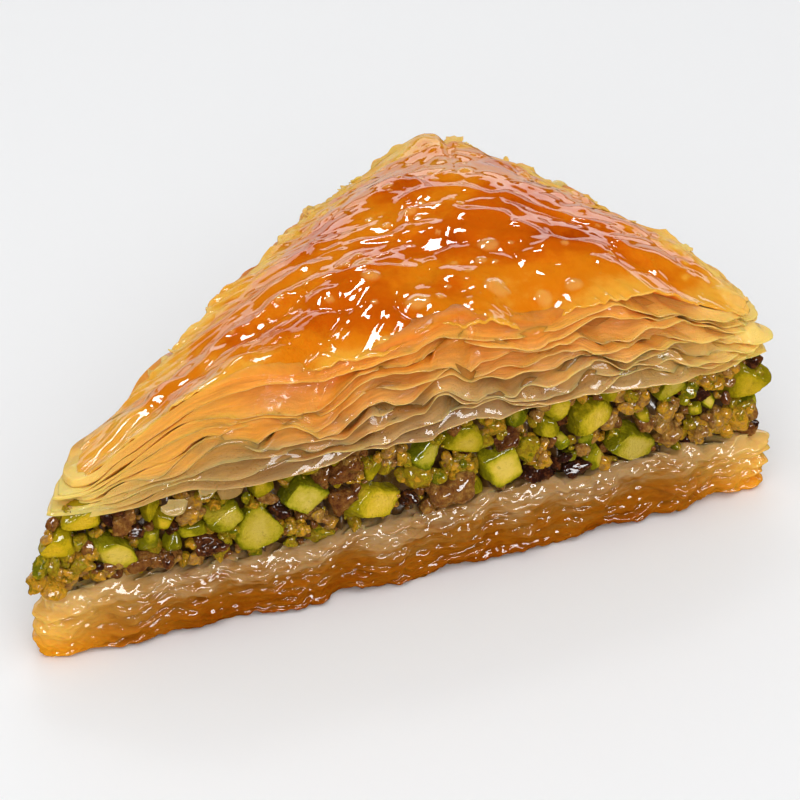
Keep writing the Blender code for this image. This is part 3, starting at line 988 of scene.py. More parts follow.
def skin_grid(outline):
    """A triangle of points over the closed outline, its faces, and its rim's indices in order."""
    n = SKIN_GRID
    cuts = [int(np.argmin(np.abs(plan.runs - run))) for run in plan.tip_runs]
    sides = []
    for k in range(3):
        start, end = cuts[k], cuts[(k + 1) % 3]
        index = np.arange(start, end + 1 if end > start else end + 1 + plan.count) % plan.count
        steps = np.linalg.norm(np.diff(outline[index], axis=0), axis=1)
        reach = np.append(0, np.cumsum(steps))
        even = np.linspace(0, reach[-1], n + 1)
        sides.append(np.stack([np.interp(even, reach, outline[index, i]) for i in (0, 1)], axis=1))
    i, j = np.array([(i, j) for i in range(n + 1) for j in range(n + 1 - i)]).T
    v, w = i / n, j / n
    u = 1 - v - w
    a, b, c = (side[0] for side in sides)
    u, v, w = u[:, None], v[:, None], w[:, None]
    ab, bc, ca = sides
    points = (
        u * (ab[i] + ca[n - j] - a) + v * (bc[j] + ab[i + j] - b) + w * (ca[n - i - j] + bc[n - i] - c)
    )
    first = np.append(0, np.cumsum(n + 1 - np.arange(n + 1)))

    def at(i, j):
        return first[i] + j

    si, sj = np.array([(i, j) for i in range(n) for j in range(n - i)]).T
    up = np.stack([at(si, sj), at(si + 1, sj), at(si, sj + 1)], axis=1)
    si, sj = np.array([(i, j) for i in range(n - 1) for j in range(n - 1 - i)]).T
    down = np.stack([at(si + 1, sj), at(si + 1, sj + 1), at(si, sj + 1)], axis=1)
    k = np.arange(n)
    rim = np.concatenate([at(k, 0 * k), at(n - k, k), at(0 * k, n - k)])
    return points, np.concatenate([up, down]), rim


def blister_field(chance, x, y, from_edge):
    """Round blisters of many sizes: their height, and how much of one is at each point."""
    height, cover = np.zeros_like(x), np.zeros_like(x)
    spots = list(SKIN_BLISTERS)
    for low, high, number in ((0.35, 0.7, 70), (0.8, 1.4, 16)):
        for pick in chance.choice(len(x), number):
            if from_edge[pick] > 1.0:
                radius = chance.uniform(low, high)
                spots.append((x[pick], y[pick], radius, radius * chance.uniform(0.2, 0.36)))
    for spot_x, spot_y, radius, lift in spots:
        away = np.hypot(x - spot_x, y - spot_y) / radius
        bump = np.where(away < 1, (1 - np.minimum(away, 1) ** 2) ** 1.5, 0)
        height += lift * bump
        if lift > 0:
            cover = np.maximum(cover, np.clip(2.5 * bump, 0, 1))
    return height, cover


def skin_relief(chance, x, y, from_edge):
    """The skin's puffs, folds along the rear sides, ridges and creases."""
    inwards, headings = side_distances(x, y)
    warp_x = x + 1.4 * swell(chance, x, y, 9.0)
    warp_y = y + 1.4 * swell(chance, x, y, 9.0)
    puffs = pillows(chance, warp_x, warp_y, 7.5, 15.0, 0.04)
    relief = 0.75 * (puffs - puffs.mean()) * (0.25 + 0.75 * np.exp(-((inwards[0] / 15) ** 2)))
    relief += 0.35 * swell(chance, x, y, 22.0)
    relief += 0.13 * creased(chance, x, y, 9.0) + 0.022 * creased(chance, x, y, 3.6)
    for k in (1, 2):
        folds = creased(chance, x, y, 5.0, stretch=(headings[k], 5.0))
        relief += 0.24 * folds * np.exp(-((inwards[k] / 9) ** 2))
    for corners, height, width in SKIN_RIDGES:
        relief += height * np.exp(-((from_line(warp_x, warp_y, corners) / width) ** 2))
    return relief * (1 - np.exp(-from_edge / 2.5))


def glazed_skin():
    """The skin: a domed, blistered and creased sheet with a wavy lip, closed underneath."""
    chance = np.random.default_rng(SKIN_SEED)
    rear = plan.side > 0
    skin_out = by_side(SKIN_OUT)
    ideal = plan.ring(skin_out, 0.0, SKIN_DRAWN_IN, inwards=tips_in())[:, :2]
    rag = 0.28 * plan.ripple(chance, 19) + 0.12 * plan.ripple(chance, 6)
    rag += plan.torn(chance, 3.0, 0.22) + plan.torn(chance, 1.1, 0.12)
    rag += rear * (plan.torn(chance, 2.4, 0.45) + plan.torn(chance, 7.0, 0.5))
    outline = plan.ring(skin_out + rag, 0.0, SKIN_DRAWN_IN, inwards=tips_in())[:, :2]
    points, faces, rim = skin_grid(outline)
    x, y = points.T
    angle = np.arctan2(y, x)
    ideal_angle = np.arctan2(ideal[:, 1], ideal[:, 0])
    ideal_reach = np.hypot(ideal[:, 0], ideal[:, 1])

    def round_about(values, angle):
        return np.interp(angle, ideal_angle, values, period=FULL_TURN)

    lips = (edge_wave() + 0.35 * plan.ripple(chance, 12) + 0.12 * plan.ripple(chance, 4)) * (1 - tip_share())
    flakes = 0.10 * plan.ripple(chance, 2.0) + rear * (plan.torn(chance, 3.5, 0.8) + plan.torn(chance, 1.2, 0.25))

    def sheet(x, y, angle):
        """The smooth sheet's height, and the distance in from its edge."""
        share = 1 - np.hypot(x, y) / round_about(ideal_reach, angle)
        from_edge = np.maximum(0, share * plan.inradius)
        edge = round_about(edge_top_heights() - edge_wave() * (1 - tip_share()), angle)
        lip = round_about(lips, angle) * np.exp(-from_edge / LIP_FADE)
        lip += round_about(flakes, angle) * np.exp(-from_edge / 1.2)
        climb = np.where(share > 0, 1 - (1 - np.maximum(share, 0)) ** DOME_POWER, 2 * share)
        return edge + lip + (CROWN_TOP - 0.5 - edge) * climb, from_edge

    z, from_edge = sheet(x, y, angle)
    bulge, cover = blister_field(chance, x, y, from_edge)
    z += skin_relief(chance, x, y, from_edge) + bulge * (1 - np.exp(-from_edge / 2.0))
    z = np.minimum(z, CROWN_TOP + 0.4)
    left_tip = centred_corners()[0]
    from_left = np.hypot(x - left_tip[0], y - left_tip[1])
    inwards, _ = side_distances(x, y)
    tone = 0.26 + 0.42 * (1 - np.exp(-from_edge / 5.5)) + 0.06 * swell(chance, x, y, 15.0)
    tone -= 0.38 * np.exp(-from_left / 16) + 0.08 * round_about(tip_share(), angle)
    margin = np.minimum(inwards[1], inwards[2]) + 1.4 * swell(chance, x, y, 6.0)
    margin += 1.2 * swell(chance, x, y, 2.6)
    rear_tip = centred_corners()[2]
    from_rear = np.hypot(x - rear_tip[0], y - rear_tip[1])
    margin -= 5.0 * np.exp(-((from_rear / 12) ** 2))
    dry = np.exp(-((np.maximum(margin - 1.0, 0) / 3.3) ** 2)) * (1 - np.exp(-((from_left / 45) ** 2)))
    tone -= 0.38 * dry
    at_rear = np.exp(-((from_rear / 23) ** 3))
    tone -= 0.30 * at_rear * (0.8 + 0.25 * swell(chance, x, y, 4.0))
    glaze = (1 - 0.88 * dry) * (1 - 0.55 * at_rear)
    dull_x, dull_y, reach, less = DULL_LIP
    glaze *= 1 - less * np.exp(-((x - dull_x) ** 2 / reach**2 + (y - dull_y) ** 2 / (reach / 2) ** 2))
    for spot_x, spot_y, reach, change in SKIN_PATCHES:
        tone += change * np.exp(-(((x - spot_x) ** 2 + (y - spot_y) ** 2) / reach**2))
    tone = np.logaddexp(tone / 0.06, 1.0) * 0.06

    rings, tones = [], []
    edge_points = points[rim]
    outwards = unit_rows(edge_points - np.roll(edge_points, 1, axis=0))
    outwards = np.column_stack([outwards[:, 1], -outwards[:, 0]])
    rim_angle = np.arctan2(edge_points[:, 1], edge_points[:, 0])
    for out, drop in ((0.07, 0.10), (0.05, 0.28), (-0.10, SKIN_THICKNESS)):
        rings.append(np.column_stack([edge_points + outwards * out, z[rim] - drop]))
        tones.append(tone[rim] - 0.06)
    for inwards in (0.8, 1.8, 3.2, 5.0, 8.0):
        flat = edge_points * (1 - inwards / plan.inradius)
        height, _ = sheet(*flat.T, rim_angle)
        rings.append(np.column_stack([flat, height - SKIN_THICKNESS - 0.4 * min(inwards, 3.0)]))
        tones.append(np.full(len(rim), 0.75))
    top = len(points)
    count = len(rim)
    all_points = np.concatenate([np.column_stack([points, z])] + rings + [[(0, 0, CROWN_TOP - 2.5)]])
    k = np.arange(count)
    after = (k + 1) % count
    first_band = np.stack([top + k, top + after, rim[after], rim[k]], axis=1)
    bands = band_faces(len(rings), count, first=top)[:, ::-1]
    hub = len(all_points) - 1
    under = cap_faces(top + (len(rings) - 1) * count, count, hub, flipped=True)
    values = {
        "tone": np.concatenate([tone, *tones, [0.8]]),
        "blister": np.append(cover, np.zeros(len(all_points) - len(cover))),
        "glaze": np.append(glaze, np.ones(len(all_points) - len(glaze))),
    }
    make_piece(
        "glazed_skin", all_points, [np.concatenate([faces, under]), np.concatenate([first_band, bands])],
        values, skin_look(), "pastry_top",
    )


def unit_rows(rows):
    return rows / np.linalg.norm(rows, axis=1)[:, None]


# ---------------------------------------------------------------- the nuts

FILLING_SEED = 41
GROUND_OUT = -1.2
GROUND_IN = 2.2
GROUND_ROWS = 12
NUT_BACK = 1.2
LEFT_NUTS_IN = 6.5
LEFT_NUTS_REACH = 7.0
NUT_FINE_FROM = 5.0

# The nut pieces that stand out on the front: place along it from the middle of the piece,
# height, length and tallness, tilt in degrees, how yellow it is, and how far from its
# middle it is cut, in halves of its depth.
FRONT_NUTS = (
    (-63.2, 19.3, 6.1, 3.9, -12, 0.90, 0.50),
    (-65.8, 16.1, 4.6, 4.4, 0, 0.95, 0.55),
    (-58.8, 13.5, 8.0, 5.3, -36, 0.30, 0.42),
    (-54.1, 18.9, 2.8, 5.2, -8, 0.85, 0.60),
    (-52.1, 16.3, 3.4, 3.8, 0, 0.75, 0.60),
    (-54.2, 14.2, 3.4, 3.5, 0, 0.35, 0.80),
    (-44.1, 15.4, 6.2, 4.1, 4, 0.30, 0.60),
    (-40.1, 12.4, 6.0, 7.0, 24, 0.35, 0.42),
    (-39.3, 18.9, 4.2, 4.0, 10, 0.75, 0.75),
    (-35.6, 19.4, 3.2, 2.9, 0, 0.50, 0.90),
    (-33.9, 15.7, 7.0, 6.2, -30, 0.10, 0.50),
    (-24.2, 12.2, 10.0, 6.3, 6, 0.60, 0.55),
    (-17.1, 17.3, 5.8, 6.3, 60, 0.05, 0.60),
    (-11.2, 18.5, 5.8, 4.8, -20, 0.60, 0.45),
    (-10.0, 10.8, 3.4, 3.4, 0, 0.50, 0.90),
    (-6.1, 13.0, 6.2, 6.7, 15, 0.30, 0.38),
    (-3.4, 20.1, 3.9, 3.9, 0, 0.10, 0.90),
    (0.3, 17.4, 3.5, 4.3, 20, 0.55, 0.70),
    (6.6, 17.3, 9.0, 5.5, 1, 0.50, 0.50),
    (9.4, 20.4, 2.9, 2.7, 0, 0.70, 0.80),
    (12.6, 12.1, 8.6, 5.7, -32, 0.30, 0.36),
    (2.5, 14.9, 2.5, 2.6, 0, 0.10, 0.95),
    (6.4, 13.8, 2.6, 2.8, 0, 0.00, 0.95),
    (4.1, 11.9, 2.2, 2.2, 0, 0.25, 0.95),
    (19.0, 19.2, 6.0, 3.1, 30, 0.30, 0.50),
    (30.3, 16.1, 6.7, 6.5, -25, 0.90, 0.60),
    (21.0, 15.9, 1.8, 1.9, 0, 0.40, 0.90),
    (22.8, 14.5, 2.1, 1.9, 0, 0.40, 0.90),
    (-51.1, 12.8, 2.6, 3.0, 0, 0.40, 0.90),
    (-24.2, 17.1, 3.3, 3.6, 0, 0.70, 0.90),
)

# Brown, tan and olive pieces on the front: place, height, length, tallness, and the kind of
# nut or husk, from dark husk through tan to green.
FRONT_BITS = (
    (-67.4, 13.3, 2.4, 2.8, 0.84),
    (-69.4, 14.1, 1.5, 1.5, 0.95),
    (-57.8, 17.8, 3.5, 3.8, 0.34),
    (-58.5, 20.0, 2.3, 1.7, 0.12),
    (-48.6, 17.7, 4.5, 4.4, 0.50),
    (-46.6, 19.6, 2.4, 2.3, 0.80),
    (-51.7, 10.8, 4.2, 3.0, 0.40),
    (-46.6, 11.6, 4.3, 3.0, 0.10),
    (-44.4, 11.9, 2.1, 2.7, 0.90),
    (-41.6, 17.6, 1.1, 1.2, 1.00),
    (-28.4, 18.3, 4.9, 3.6, 0.24),
    (-21.4, 19.0, 3.0, 3.3, 0.50),
    (-12.5, 15.0, 4.2, 3.0, 0.78),
    (-14.0, 11.5, 5.4, 5.2, 0.36),
    (-1.6, 11.1, 4.9, 2.3, 0.02),
    (-7.0, 19.3, 4.0, 3.6, 0.72),
    (-4.7, 16.9, 4.3, 3.9, 0.20),
    (-0.4, 13.7, 3.8, 4.0, 0.58),
    (4.9, 10.0, 3.8, 2.2, 0.03),
    (23.5, 19.1, 3.3, 4.3, 0.64),
    (23.5, 16.5, 2.4, 1.9, 0.03),
    (18.5, 14.2, 5.7, 4.7, 0.52),
    (27.0, 19.0, 3.3, 2.2, 0.52),
    (26.9, 11.3, 3.9, 3.5, 0.56),
    (23.8, 10.6, 3.9, 3.0, 0.60),
    (14.3, 18.0, 3.5, 3.1, 0.50),
    (15.6, 20.4, 2.7, 2.1, 0.60),
    (12.1, 17.4, 2.1, 1.8, 0.56),
    (-15.0, 14.2, 2.3, 1.8, 0.90),
    (-63.0, 13.2, 3.9, 3.4, 0.66),
    (-65.1, 12.0, 2.8, 2.3, 0.68),
    (-68.0, 11.1, 3.1, 2.3, 0.68),
    (-59.9, 11.0, 4.4, 1.8, 0.50),
    (-31.7, 12.1, 4.9, 2.7, 0.45),
    (-34.4, 11.3, 3.3, 1.8, 0.70),
    (-18.9, 11.8, 2.5, 1.8, 0.05),
    (-27.5, 20.6, 4.1, 2.4, 0.40),
    (-37.1, 14.7, 2.7, 3.0, 0.02),
    (-55.3, 11.3, 3.9, 2.1, 0.30),
    (-56.3, 15.6, 2.6, 2.3, 0.04),
    (30.1, 12.6, 4.0, 2.2, 0.80),
)


# Bits at the left corner's end: place along the outline, height, length and tallness, kind,
# and how far in they sit.
CORNER_BITS = (
    (3.4, 13.8, 2.6, 2.6, 0.97, -0.3),
    (3.0, 11.3, 3.6, 2.4, 0.65, -0.5),
    (5.5, 10.6, 3.2, 1.8, 0.64, 0.2),
    (1.2, 11.0, 3.0, 2.0, 0.66, 0.2),
)


def ball(fineness):
    """The points and triangles of a ball of unit radius."""
    maker = bmesh.new()
    bmesh.ops.create_icosphere(maker, subdivisions=fineness, radius=1.0)
    points = np.array([vert.co for vert in maker.verts])
    faces = np.array([[vert.index for vert in face.verts] for face in maker.faces])
    maker.free()
    return points, faces


def turned(a, b, c):
    """A rotation matrix from angles about X, Y and Z."""
    about_x = np.array([[1, 0, 0], [0, math.cos(a), -math.sin(a)], [0, math.sin(a), math.cos(a)]])
    about_y = np.array([[math.cos(b), 0, math.sin(b)], [0, 1, 0], [-math.sin(b), 0, math.cos(b)]])
    about_z = np.array([[math.cos(c), -math.sin(c), 0], [math.sin(c), math.cos(c), 0], [0, 0, 1]])
    return about_z @ about_y @ about_x


def cut_off(shape, cuts, softness):
    """The shape with planes, given by their normals and depths, cut off it."""
    for normal, depth in cuts:
        over = softness * np.logaddexp(0, (shape @ normal - depth) / softness)
        shape = shape - over[:, None] * normal
    return shape


def chunk(chance, points, cuts, lumpy, softness=0.022, boxy=2.0, rough=0.0, dents_in_skin=()):
    """A lumpy unit ball with planes cut off it, and how far inside its skin each point is.

    The ball is the more like a box the more boxy is over two. Roughness is small dents all
    over the cut shape. Flat dents in the skin are cuts too, but they still have skin on them.
    """
    wobble, dents = np.zeros(len(points)), np.zeros(len(points))
    for _ in range(8):
        heading = unit(chance.normal(size=3)) * chance.uniform(1.8, 5.5)
        wobble += np.sin(points @ heading + chance.uniform(0, FULL_TURN))
        heading = unit(chance.normal(size=3)) * chance.uniform(7, 15)
        dents += np.abs(np.sin(points @ heading + chance.uniform(0, FULL_TURN)))
    box = (np.abs(points) ** boxy).sum(axis=1) ** (-1 / boxy)
    shape = cut_off(points * (box * (1 + lumpy * wobble / 2))[:, None], dents_in_skin, 2 * softness)
    uncut = np.linalg.norm(shape, axis=1)
    shape = cut_off(shape, cuts, softness)
    inside = np.clip(1 - np.linalg.norm(shape, axis=1) / uncut, 0, 1)
    return shape * (1 + rough * (dents / 8 - 0.64))[:, None], inside


def random_cuts(chance, number, shallow, deep):
    return [(unit(chance.normal(size=3)), chance.uniform(shallow, deep)) for _ in range(number)]


def side_axes(run):
    """The place on the outline at a run, and the axes along, into and up the side there."""
    k = int(np.searchsorted(plan.runs, run % plan.length)) % plan.count
    nx, ny = plan.normals[k]
    return plan.points[k], np.array([[-ny, nx, 0], [-nx, -ny, 0], [0, 0, 1]])


def set_in(shape, run, height, inwards):
    """A shape with +X along the side and +Y into it, put in its place."""
    place, axes = side_axes(run)
    moved = shape @ axes
    moved[:, :2] += place - axes[1, :2] * -inwards
    moved[:, 2] += height
    return moved


# The cuts round a nut piece that give it straight edges, and their depths.
SIDE_CUTS = 4
SIDE_CUT_DEPTHS = (0.55, 0.85)
NUT_SOFTNESS = 0.045


class Packing:
    """Where there is already a nut, as a run along the outline, a height and a radius."""

    def __init__(self):
        self.taken = []

    def free(self, run, height, radius, overlap):
        for other_run, other_height, other_radius in self.taken:
            away = abs(run - other_run)
            away = min(away, plan.length - away)
            if math.hypot(away, height - other_height) < overlap * (radius + other_radius):
                return False
        return True

    def take(self, run, height, radius):
        self.taken.append((run, height, radius))


def nut_piece(heap, chance, mesh, run, height, size, tilt, ripe, cut, inwards):
    """One cut nut piece set into the side, with a flat face looking out of it."""
    points, faces = mesh
    facing = unit((chance.normal() * 0.22, -1.0, chance.normal() * 0.18 + 0.12))
    flesh, skin = [(facing, cut), *random_cuts(chance, 2, 0.60, 0.95)], random_cuts(chance, 3, 0.6, 0.9)
    angle = chance.uniform(0, FULL_TURN)
    for number in range(SIDE_CUTS):
        angle += chance.uniform(1.2, 2.4)
        side = unit((math.cos(angle), chance.uniform(-0.7, 0.1), math.sin(angle)))
        (flesh, skin)[min(number, 1)].append((side, chance.uniform(*SIDE_CUT_DEPTHS)))
    shape, inside = chunk(
        chance, points, flesh, 0.07, softness=NUT_SOFTNESS, boxy=chance.uniform(2.0, 3.0), rough=0.12,
        dents_in_skin=skin,
    )
    half = np.array([size[0], max(size) * 0.85, size[1]]) * 0.54
    shape = (shape * half) @ turned(0, math.radians(tilt), 0)
    heap.add(
        set_in(shape, run, height, inwards + half[1] * cut), faces,
        inside=inside, ripe=ripe, shade=chance.uniform(0.0, 1.0),
    )


def bit(heap, chance, mesh, run, height, size, kind, inwards, lumpy=0.20):
    """One broken bit of nut or husk, of a length and a tallness."""
    points, faces = mesh
    cuts = random_cuts(chance, 5, 0.55, 0.95)
    shape, _ = chunk(chance, points, cuts, lumpy, softness=0.05, rough=0.32)
    half = np.array([size[0], (size[0] + size[1]) / 2, size[1]]) * 0.54
    shape = (shape @ turned(*chance.uniform(0, FULL_TURN, 3)) * half) @ turned(0, chance.normal() * 0.3, 0)
    heap.add(set_in(shape, run, height, inwards + 0.6 * half[1]), faces, kind=kind)


# The kinds of bit that are clusters of grains, how long they are at least, and their grains.
CLUSTER_KINDS = (0.38, 0.82)
CLUSTER_LENGTH = 2.6
CLUSTER_GRAINS = 12
CLUSTER_SEED = 67


def cluster(heap, chance, mesh, run, height, size, kind, inwards):
    """Grains stuck all over the place of a bit of nut."""
    for _ in range(CLUSTER_GRAINS):
        x, y, z = unit(chance.normal(size=3)) * (0.42, 0.30, 0.42)
        grain = chance.uniform(0.9, 1.9)
        bit(heap, chance, mesh, run + x * size[0], height + z * size[1], (grain, grain),
            kind + chance.normal() * 0.10, inwards + 0.25 * size[0] + y * size[0] - 0.3 * grain)


def filling_ground(chance):
    """The lumpy syrup and paste that the nuts sit in, dark partly by its own colour and partly with painted shade
    for the gaps.
    """
    lows, highs = base_top_heights() - 0.4, filling_top_heights() + 0.5
    rings = []
    for row in range(GROUND_ROWS + 1):
        share = row / GROUND_ROWS
        lumps = 0.5 * plan.ripple(chance, 4.5) + 0.3 * plan.ripple(chance, 2.2)
        rings.append(plan.ring(GROUND_OUT + lumps, lows + (highs - lows) * share, inwards=GROUND_IN))
    rows = len(rings)
    points = np.concatenate(rings + [[(0, 0, BASE_TOP - 0.4), (0, 0, FILLING_TOP + 0.5)]])
    hub = rows * plan.count
    faces = [
        band_faces(rows, plan.count),
        cap_faces(0, plan.count, hub, flipped=True),
        cap_faces((rows - 1) * plan.count, plan.count, hub + 1, flipped=False),
    ]
    make_piece("filling_ground", points, faces, {}, syrup_and_shade_look(), "nut_filling")


# The random pieces: how many tries, their sizes, and how much they may overlap.
MORE_NUTS = (420, (3.2, 6.6), 0.78)
BITS = (1600, (1.5, 3.6), 0.60)
BIT_KINDS = (0.04, 0.20, 0.34, 0.44, 0.52, 0.62, 0.72, 0.78, 0.84, 0.92)
GRAINS = 1100
GRAIN_SIZE = (0.45, 1.35)
GRAIN_CLUSTERS = 90


def off_tip(run, share):
    """A run moved along its side away from the left corner, the more the higher it is."""
    away = min(run, plan.length - run)
    moved = away + (0.25 + 0.75 * share) * LEFT_NUTS_IN * math.exp(-away / LEFT_NUTS_REACH)
    return moved if run < plan.length / 2 else plan.length - moved


def random_place(chance):
    """A run along the outline and a share of the filling's height."""
    run, share = chance.uniform(0, plan.length), chance.uniform(0.02, 0.98)
    return off_tip(run, share), share


def filling():
    """Chopped nuts: listed pieces on the front, random ones all round, bits and grains."""
    chance = np.random.default_rng(FILLING_SEED)
    filling_ground(chance)
    lows, highs = base_top_heights(), filling_top_heights()
    packing = Packing()
    nut_material = pistachio_look()

    fine_ball, medium_ball, small_ball, grain_ball = (ball(fineness) for fineness in (5, 4, 3, 2))
    front = Heap()
    for along, height, length, tall, tilt, ripe, cut in FRONT_NUTS:
        mesh = fine_ball if max(length, tall) > NUT_FINE_FROM else medium_ball
        run = plan.front_run(along)
        nut_piece(front, chance, mesh, run, height, (length, tall), tilt, ripe, cut,
                  NUT_BACK + chance.uniform(-0.4, 0.4))
        packing.take(run, height, (length + tall) / 4)
    front.piece("front_nuts", nut_material, "chopped_nuts", "nut_filling")

    bits = Heap()
    loose = np.random.default_rng(CLUSTER_SEED)
    for along, height, length, tall, kind in FRONT_BITS:
        run = plan.front_run(along)
        packing.take(run, height, (length + tall) / 4)
        if CLUSTER_KINDS[0] < kind < CLUSTER_KINDS[1] and length > CLUSTER_LENGTH:
            bit(bits, chance, small_ball, run, height, (0.8 * length, 0.8 * tall), kind, NUT_BACK + 0.4)
            cluster(bits, loose, grain_ball, run, height, (length, tall), kind, NUT_BACK)
        else:
            bit(bits, chance, medium_ball, run, height, (length, tall), kind, NUT_BACK)

    for run, height, length, tall, kind, inwards in CORNER_BITS:
        bit(bits, chance, medium_ball, run, height, (length, tall), kind, inwards)
        packing.take(run, height, (length + tall) / 4)

    nuts = Heap()
    tries, sizes, overlap = MORE_NUTS
    for _ in range(tries):
        run, share = random_place(chance)
        size = chance.uniform(*sizes, 2) * (0.5 + 0.5 * chance.random())
        k = int(np.searchsorted(plan.runs, run)) % plan.count
        height = lows[k] + 0.8 + (highs[k] - lows[k] - 1.6) * share
        radius = size.sum() / 4
        if packing.free(run, height, radius, overlap):
            packing.take(run, height, radius)
            nut_piece(nuts, chance, medium_ball, run, height, size, chance.uniform(-50, 50),
                      chance.uniform(0, 0.8), chance.uniform(0.4, 0.9),
                      NUT_BACK + chance.uniform(-0.2, 0.8))
    nuts.piece("more_nuts", nut_material, "chopped_nuts", "nut_filling")

    tries, sizes, overlap = BITS
    for _ in range(tries):
        run, share = random_place(chance)
        size = sizes[0] + (sizes[1] - sizes[0]) * chance.random() ** 2
        k = int(np.searchsorted(plan.runs, run)) % plan.count
        height = lows[k] + 0.3 + (highs[k] - lows[k] - 0.6) * share
        if packing.free(run, height, size / 2, overlap):
            packing.take(run, height, size / 2)
            kind = chance.choice(BIT_KINDS) + chance.normal() * 0.04
            bit(bits, chance, small_ball, run, height, size * chance.uniform(0.8, 1.2, 2), kind,
                NUT_BACK + chance.uniform(0.0, 1.2))
    bit_material = crumb_look()
    bits.piece("nut_bits", bit_material, "chopped_nuts", "nut_filling")

    grains = Heap()
    clusters = [random_place(chance) for _ in range(GRAIN_CLUSTERS)]
    for number in range(GRAINS):
        run, share = random_place(chance)
        if number % 2:
            run, share = clusters[chance.integers(GRAIN_CLUSTERS)] + chance.normal(size=2) * (1.2, 0.10)
            share = min(max(share, 0.02), 0.98)
            run = off_tip(run % plan.length, share)
        k = int(np.searchsorted(plan.runs, run)) % plan.count
        height = lows[k] + 0.1 + (highs[k] - lows[k] - 0.2) * share
        size = chance.uniform(*GRAIN_SIZE)
        bit(grains, chance, grain_ball, run, height, (size, size * chance.uniform(0.7, 1.1)),
            chance.choice(BIT_KINDS[2:]), NUT_BACK + chance.uniform(0.5, 2.0))
    grains.piece("nut_grains", bit_material, "chopped_nuts", "nut_filling")


# ---------------------------------------------------------------- loose flakes

FLAKE_SEED = 7
FLAKE_SPOKES = 15
FLAKE_RINGS = (0.4, 0.75, 1.0)
FLAKE_THICKNESS = 0.12
REAR_FLAKES = 30

# Leaf fragments on the front: place, height, length and drop, how far in, and how much of the leaves' painted
# recess shade they take.
FRONT_FLAKES = (
    (-51.4, 19.3, 3.6, 2.8, 0.3, 0.15),
    (-43.4, 20.2, 4.8, 4.0, 0.9, 0.55),
    (-47.0, 20.8, 2.6, 1.6, 0.2, 0.20),
)


def flake(heap, chance, size, place, tilt, rise, deep, tip):
    """A thin, curled fragment of leaf with a jagged edge, at a place and turned by a tilt."""
    angles = np.arange(FLAKE_SPOKES) * FULL_TURN / FLAKE_SPOKES
    jagged = chance.uniform(0.65, 1.1, FLAKE_SPOKES)
    curl, bend = chance.uniform(-0.25, 0.35, 2)
    flat = [np.zeros((1, 2))] + [
        np.column_stack([np.cos(angles), np.sin(angles)]) * (ring * jagged)[:, None] for ring in FLAKE_RINGS
    ]
    flat = np.concatenate(flat)
    lift = (curl * flat[:, 0] ** 2 + bend * flat[:, 1] ** 2) * min(size)
    above = np.column_stack([flat * np.array(size) / 2, lift])
    below = above - (0, 0, FLAKE_THICKNESS)
    count = len(above)
    faces = [cap_faces(1, FLAKE_SPOKES, 0, flipped=False)]
    for ring in range(len(FLAKE_RINGS) - 1):
        quads = band_faces(2, FLAKE_SPOKES, first=1 + ring * FLAKE_SPOKES)[:, ::-1]
        faces += [quads[:, :3], quads[:, [0, 2, 3]]]
    upper = np.concatenate(faces)
    last = 1 + (len(FLAKE_RINGS) - 1) * FLAKE_SPOKES
    k = np.arange(FLAKE_SPOKES)
    after = (k + 1) % FLAKE_SPOKES
    rim = np.concatenate([
        np.stack([last + k, count + last + k, count + last + after], axis=1),
        np.stack([last + k, count + last + after, last + after], axis=1),
    ])
    points = np.concatenate([above, below]) @ turned(*tilt).T + place
    heap.add(points, np.concatenate([upper, upper[:, ::-1] + count, rim]), rise=rise, deep=deep, tip=tip)


def loose_flakes(material):
    """Fragments of leaf: a few on the front, and many along the rear edges, round the rear corner."""
    chance = np.random.default_rng(FLAKE_SEED)
    heap = Heap()
    for along, height, length, drop, inwards, deep in FRONT_FLAKES:
        place, axes = side_axes(plan.front_run(along))
        spot = np.array([*(place + axes[1, :2] * inwards), height])
        flake(heap, chance, (length, drop), spot, (math.radians(75), 0.1, 0), 0.3, deep, 0.0)
    highs = edge_top_heights()
    for run in chance.uniform(plan.tip_runs[1] + 8, plan.length - 24, REAR_FLAKES):
        k = int(np.searchsorted(plan.runs, run)) % plan.count
        place, _ = side_axes(run)
        size = chance.uniform(1.2, 3.4, 2)
        spot = np.array([*(place * chance.uniform(0.92, 0.965)), highs[k] + chance.uniform(-0.1, 0.5)])
        tilt = (chance.normal() * 0.35, chance.normal() * 0.3, chance.uniform(0, FULL_TURN))
        flake(heap, chance, size, spot, tilt, chance.uniform(0.6, 1.0), 0.0, chance.uniform(0, 0.6))
    heap.piece("loose_flakes", material, "glazed_pastry", "pastry_top")


# ---------------------------------------------------------------- camera, floor, light

AZIMUTH = math.radians(-23.8)
ELEVATION = math.radians(31.0)
DISTANCE = 493.8
ASIDE = -8.15
ABOVE = 6.52
LENS = 162.0
FLOOR_SIZE = 40.0


def camera():
    right = Vector((math.cos(AZIMUTH), math.sin(AZIMUTH), 0))
    ahead = Vector((
        -math.sin(AZIMUTH) * math.cos(ELEVATION),
        math.cos(AZIMUTH) * math.cos(ELEVATION),
        -math.sin(ELEVATION),
    ))
    up = right.cross(ahead)
    data = bpy.data.cameras.new("camera")
    data.lens = LENS
    data.clip_start = 0.01
    holder = bpy.data.objects.new("camera", data)
    place = (right * ASIDE + up * ABOVE - ahead * DISTANCE) * MM
    turn = Matrix((right, up, -ahead)).transposed()
    holder.matrix_world = Matrix.Translation(place) @ turn.to_4x4()
    bpy.context.scene.collection.objects.link(holder)
    bpy.context.scene.camera = holder


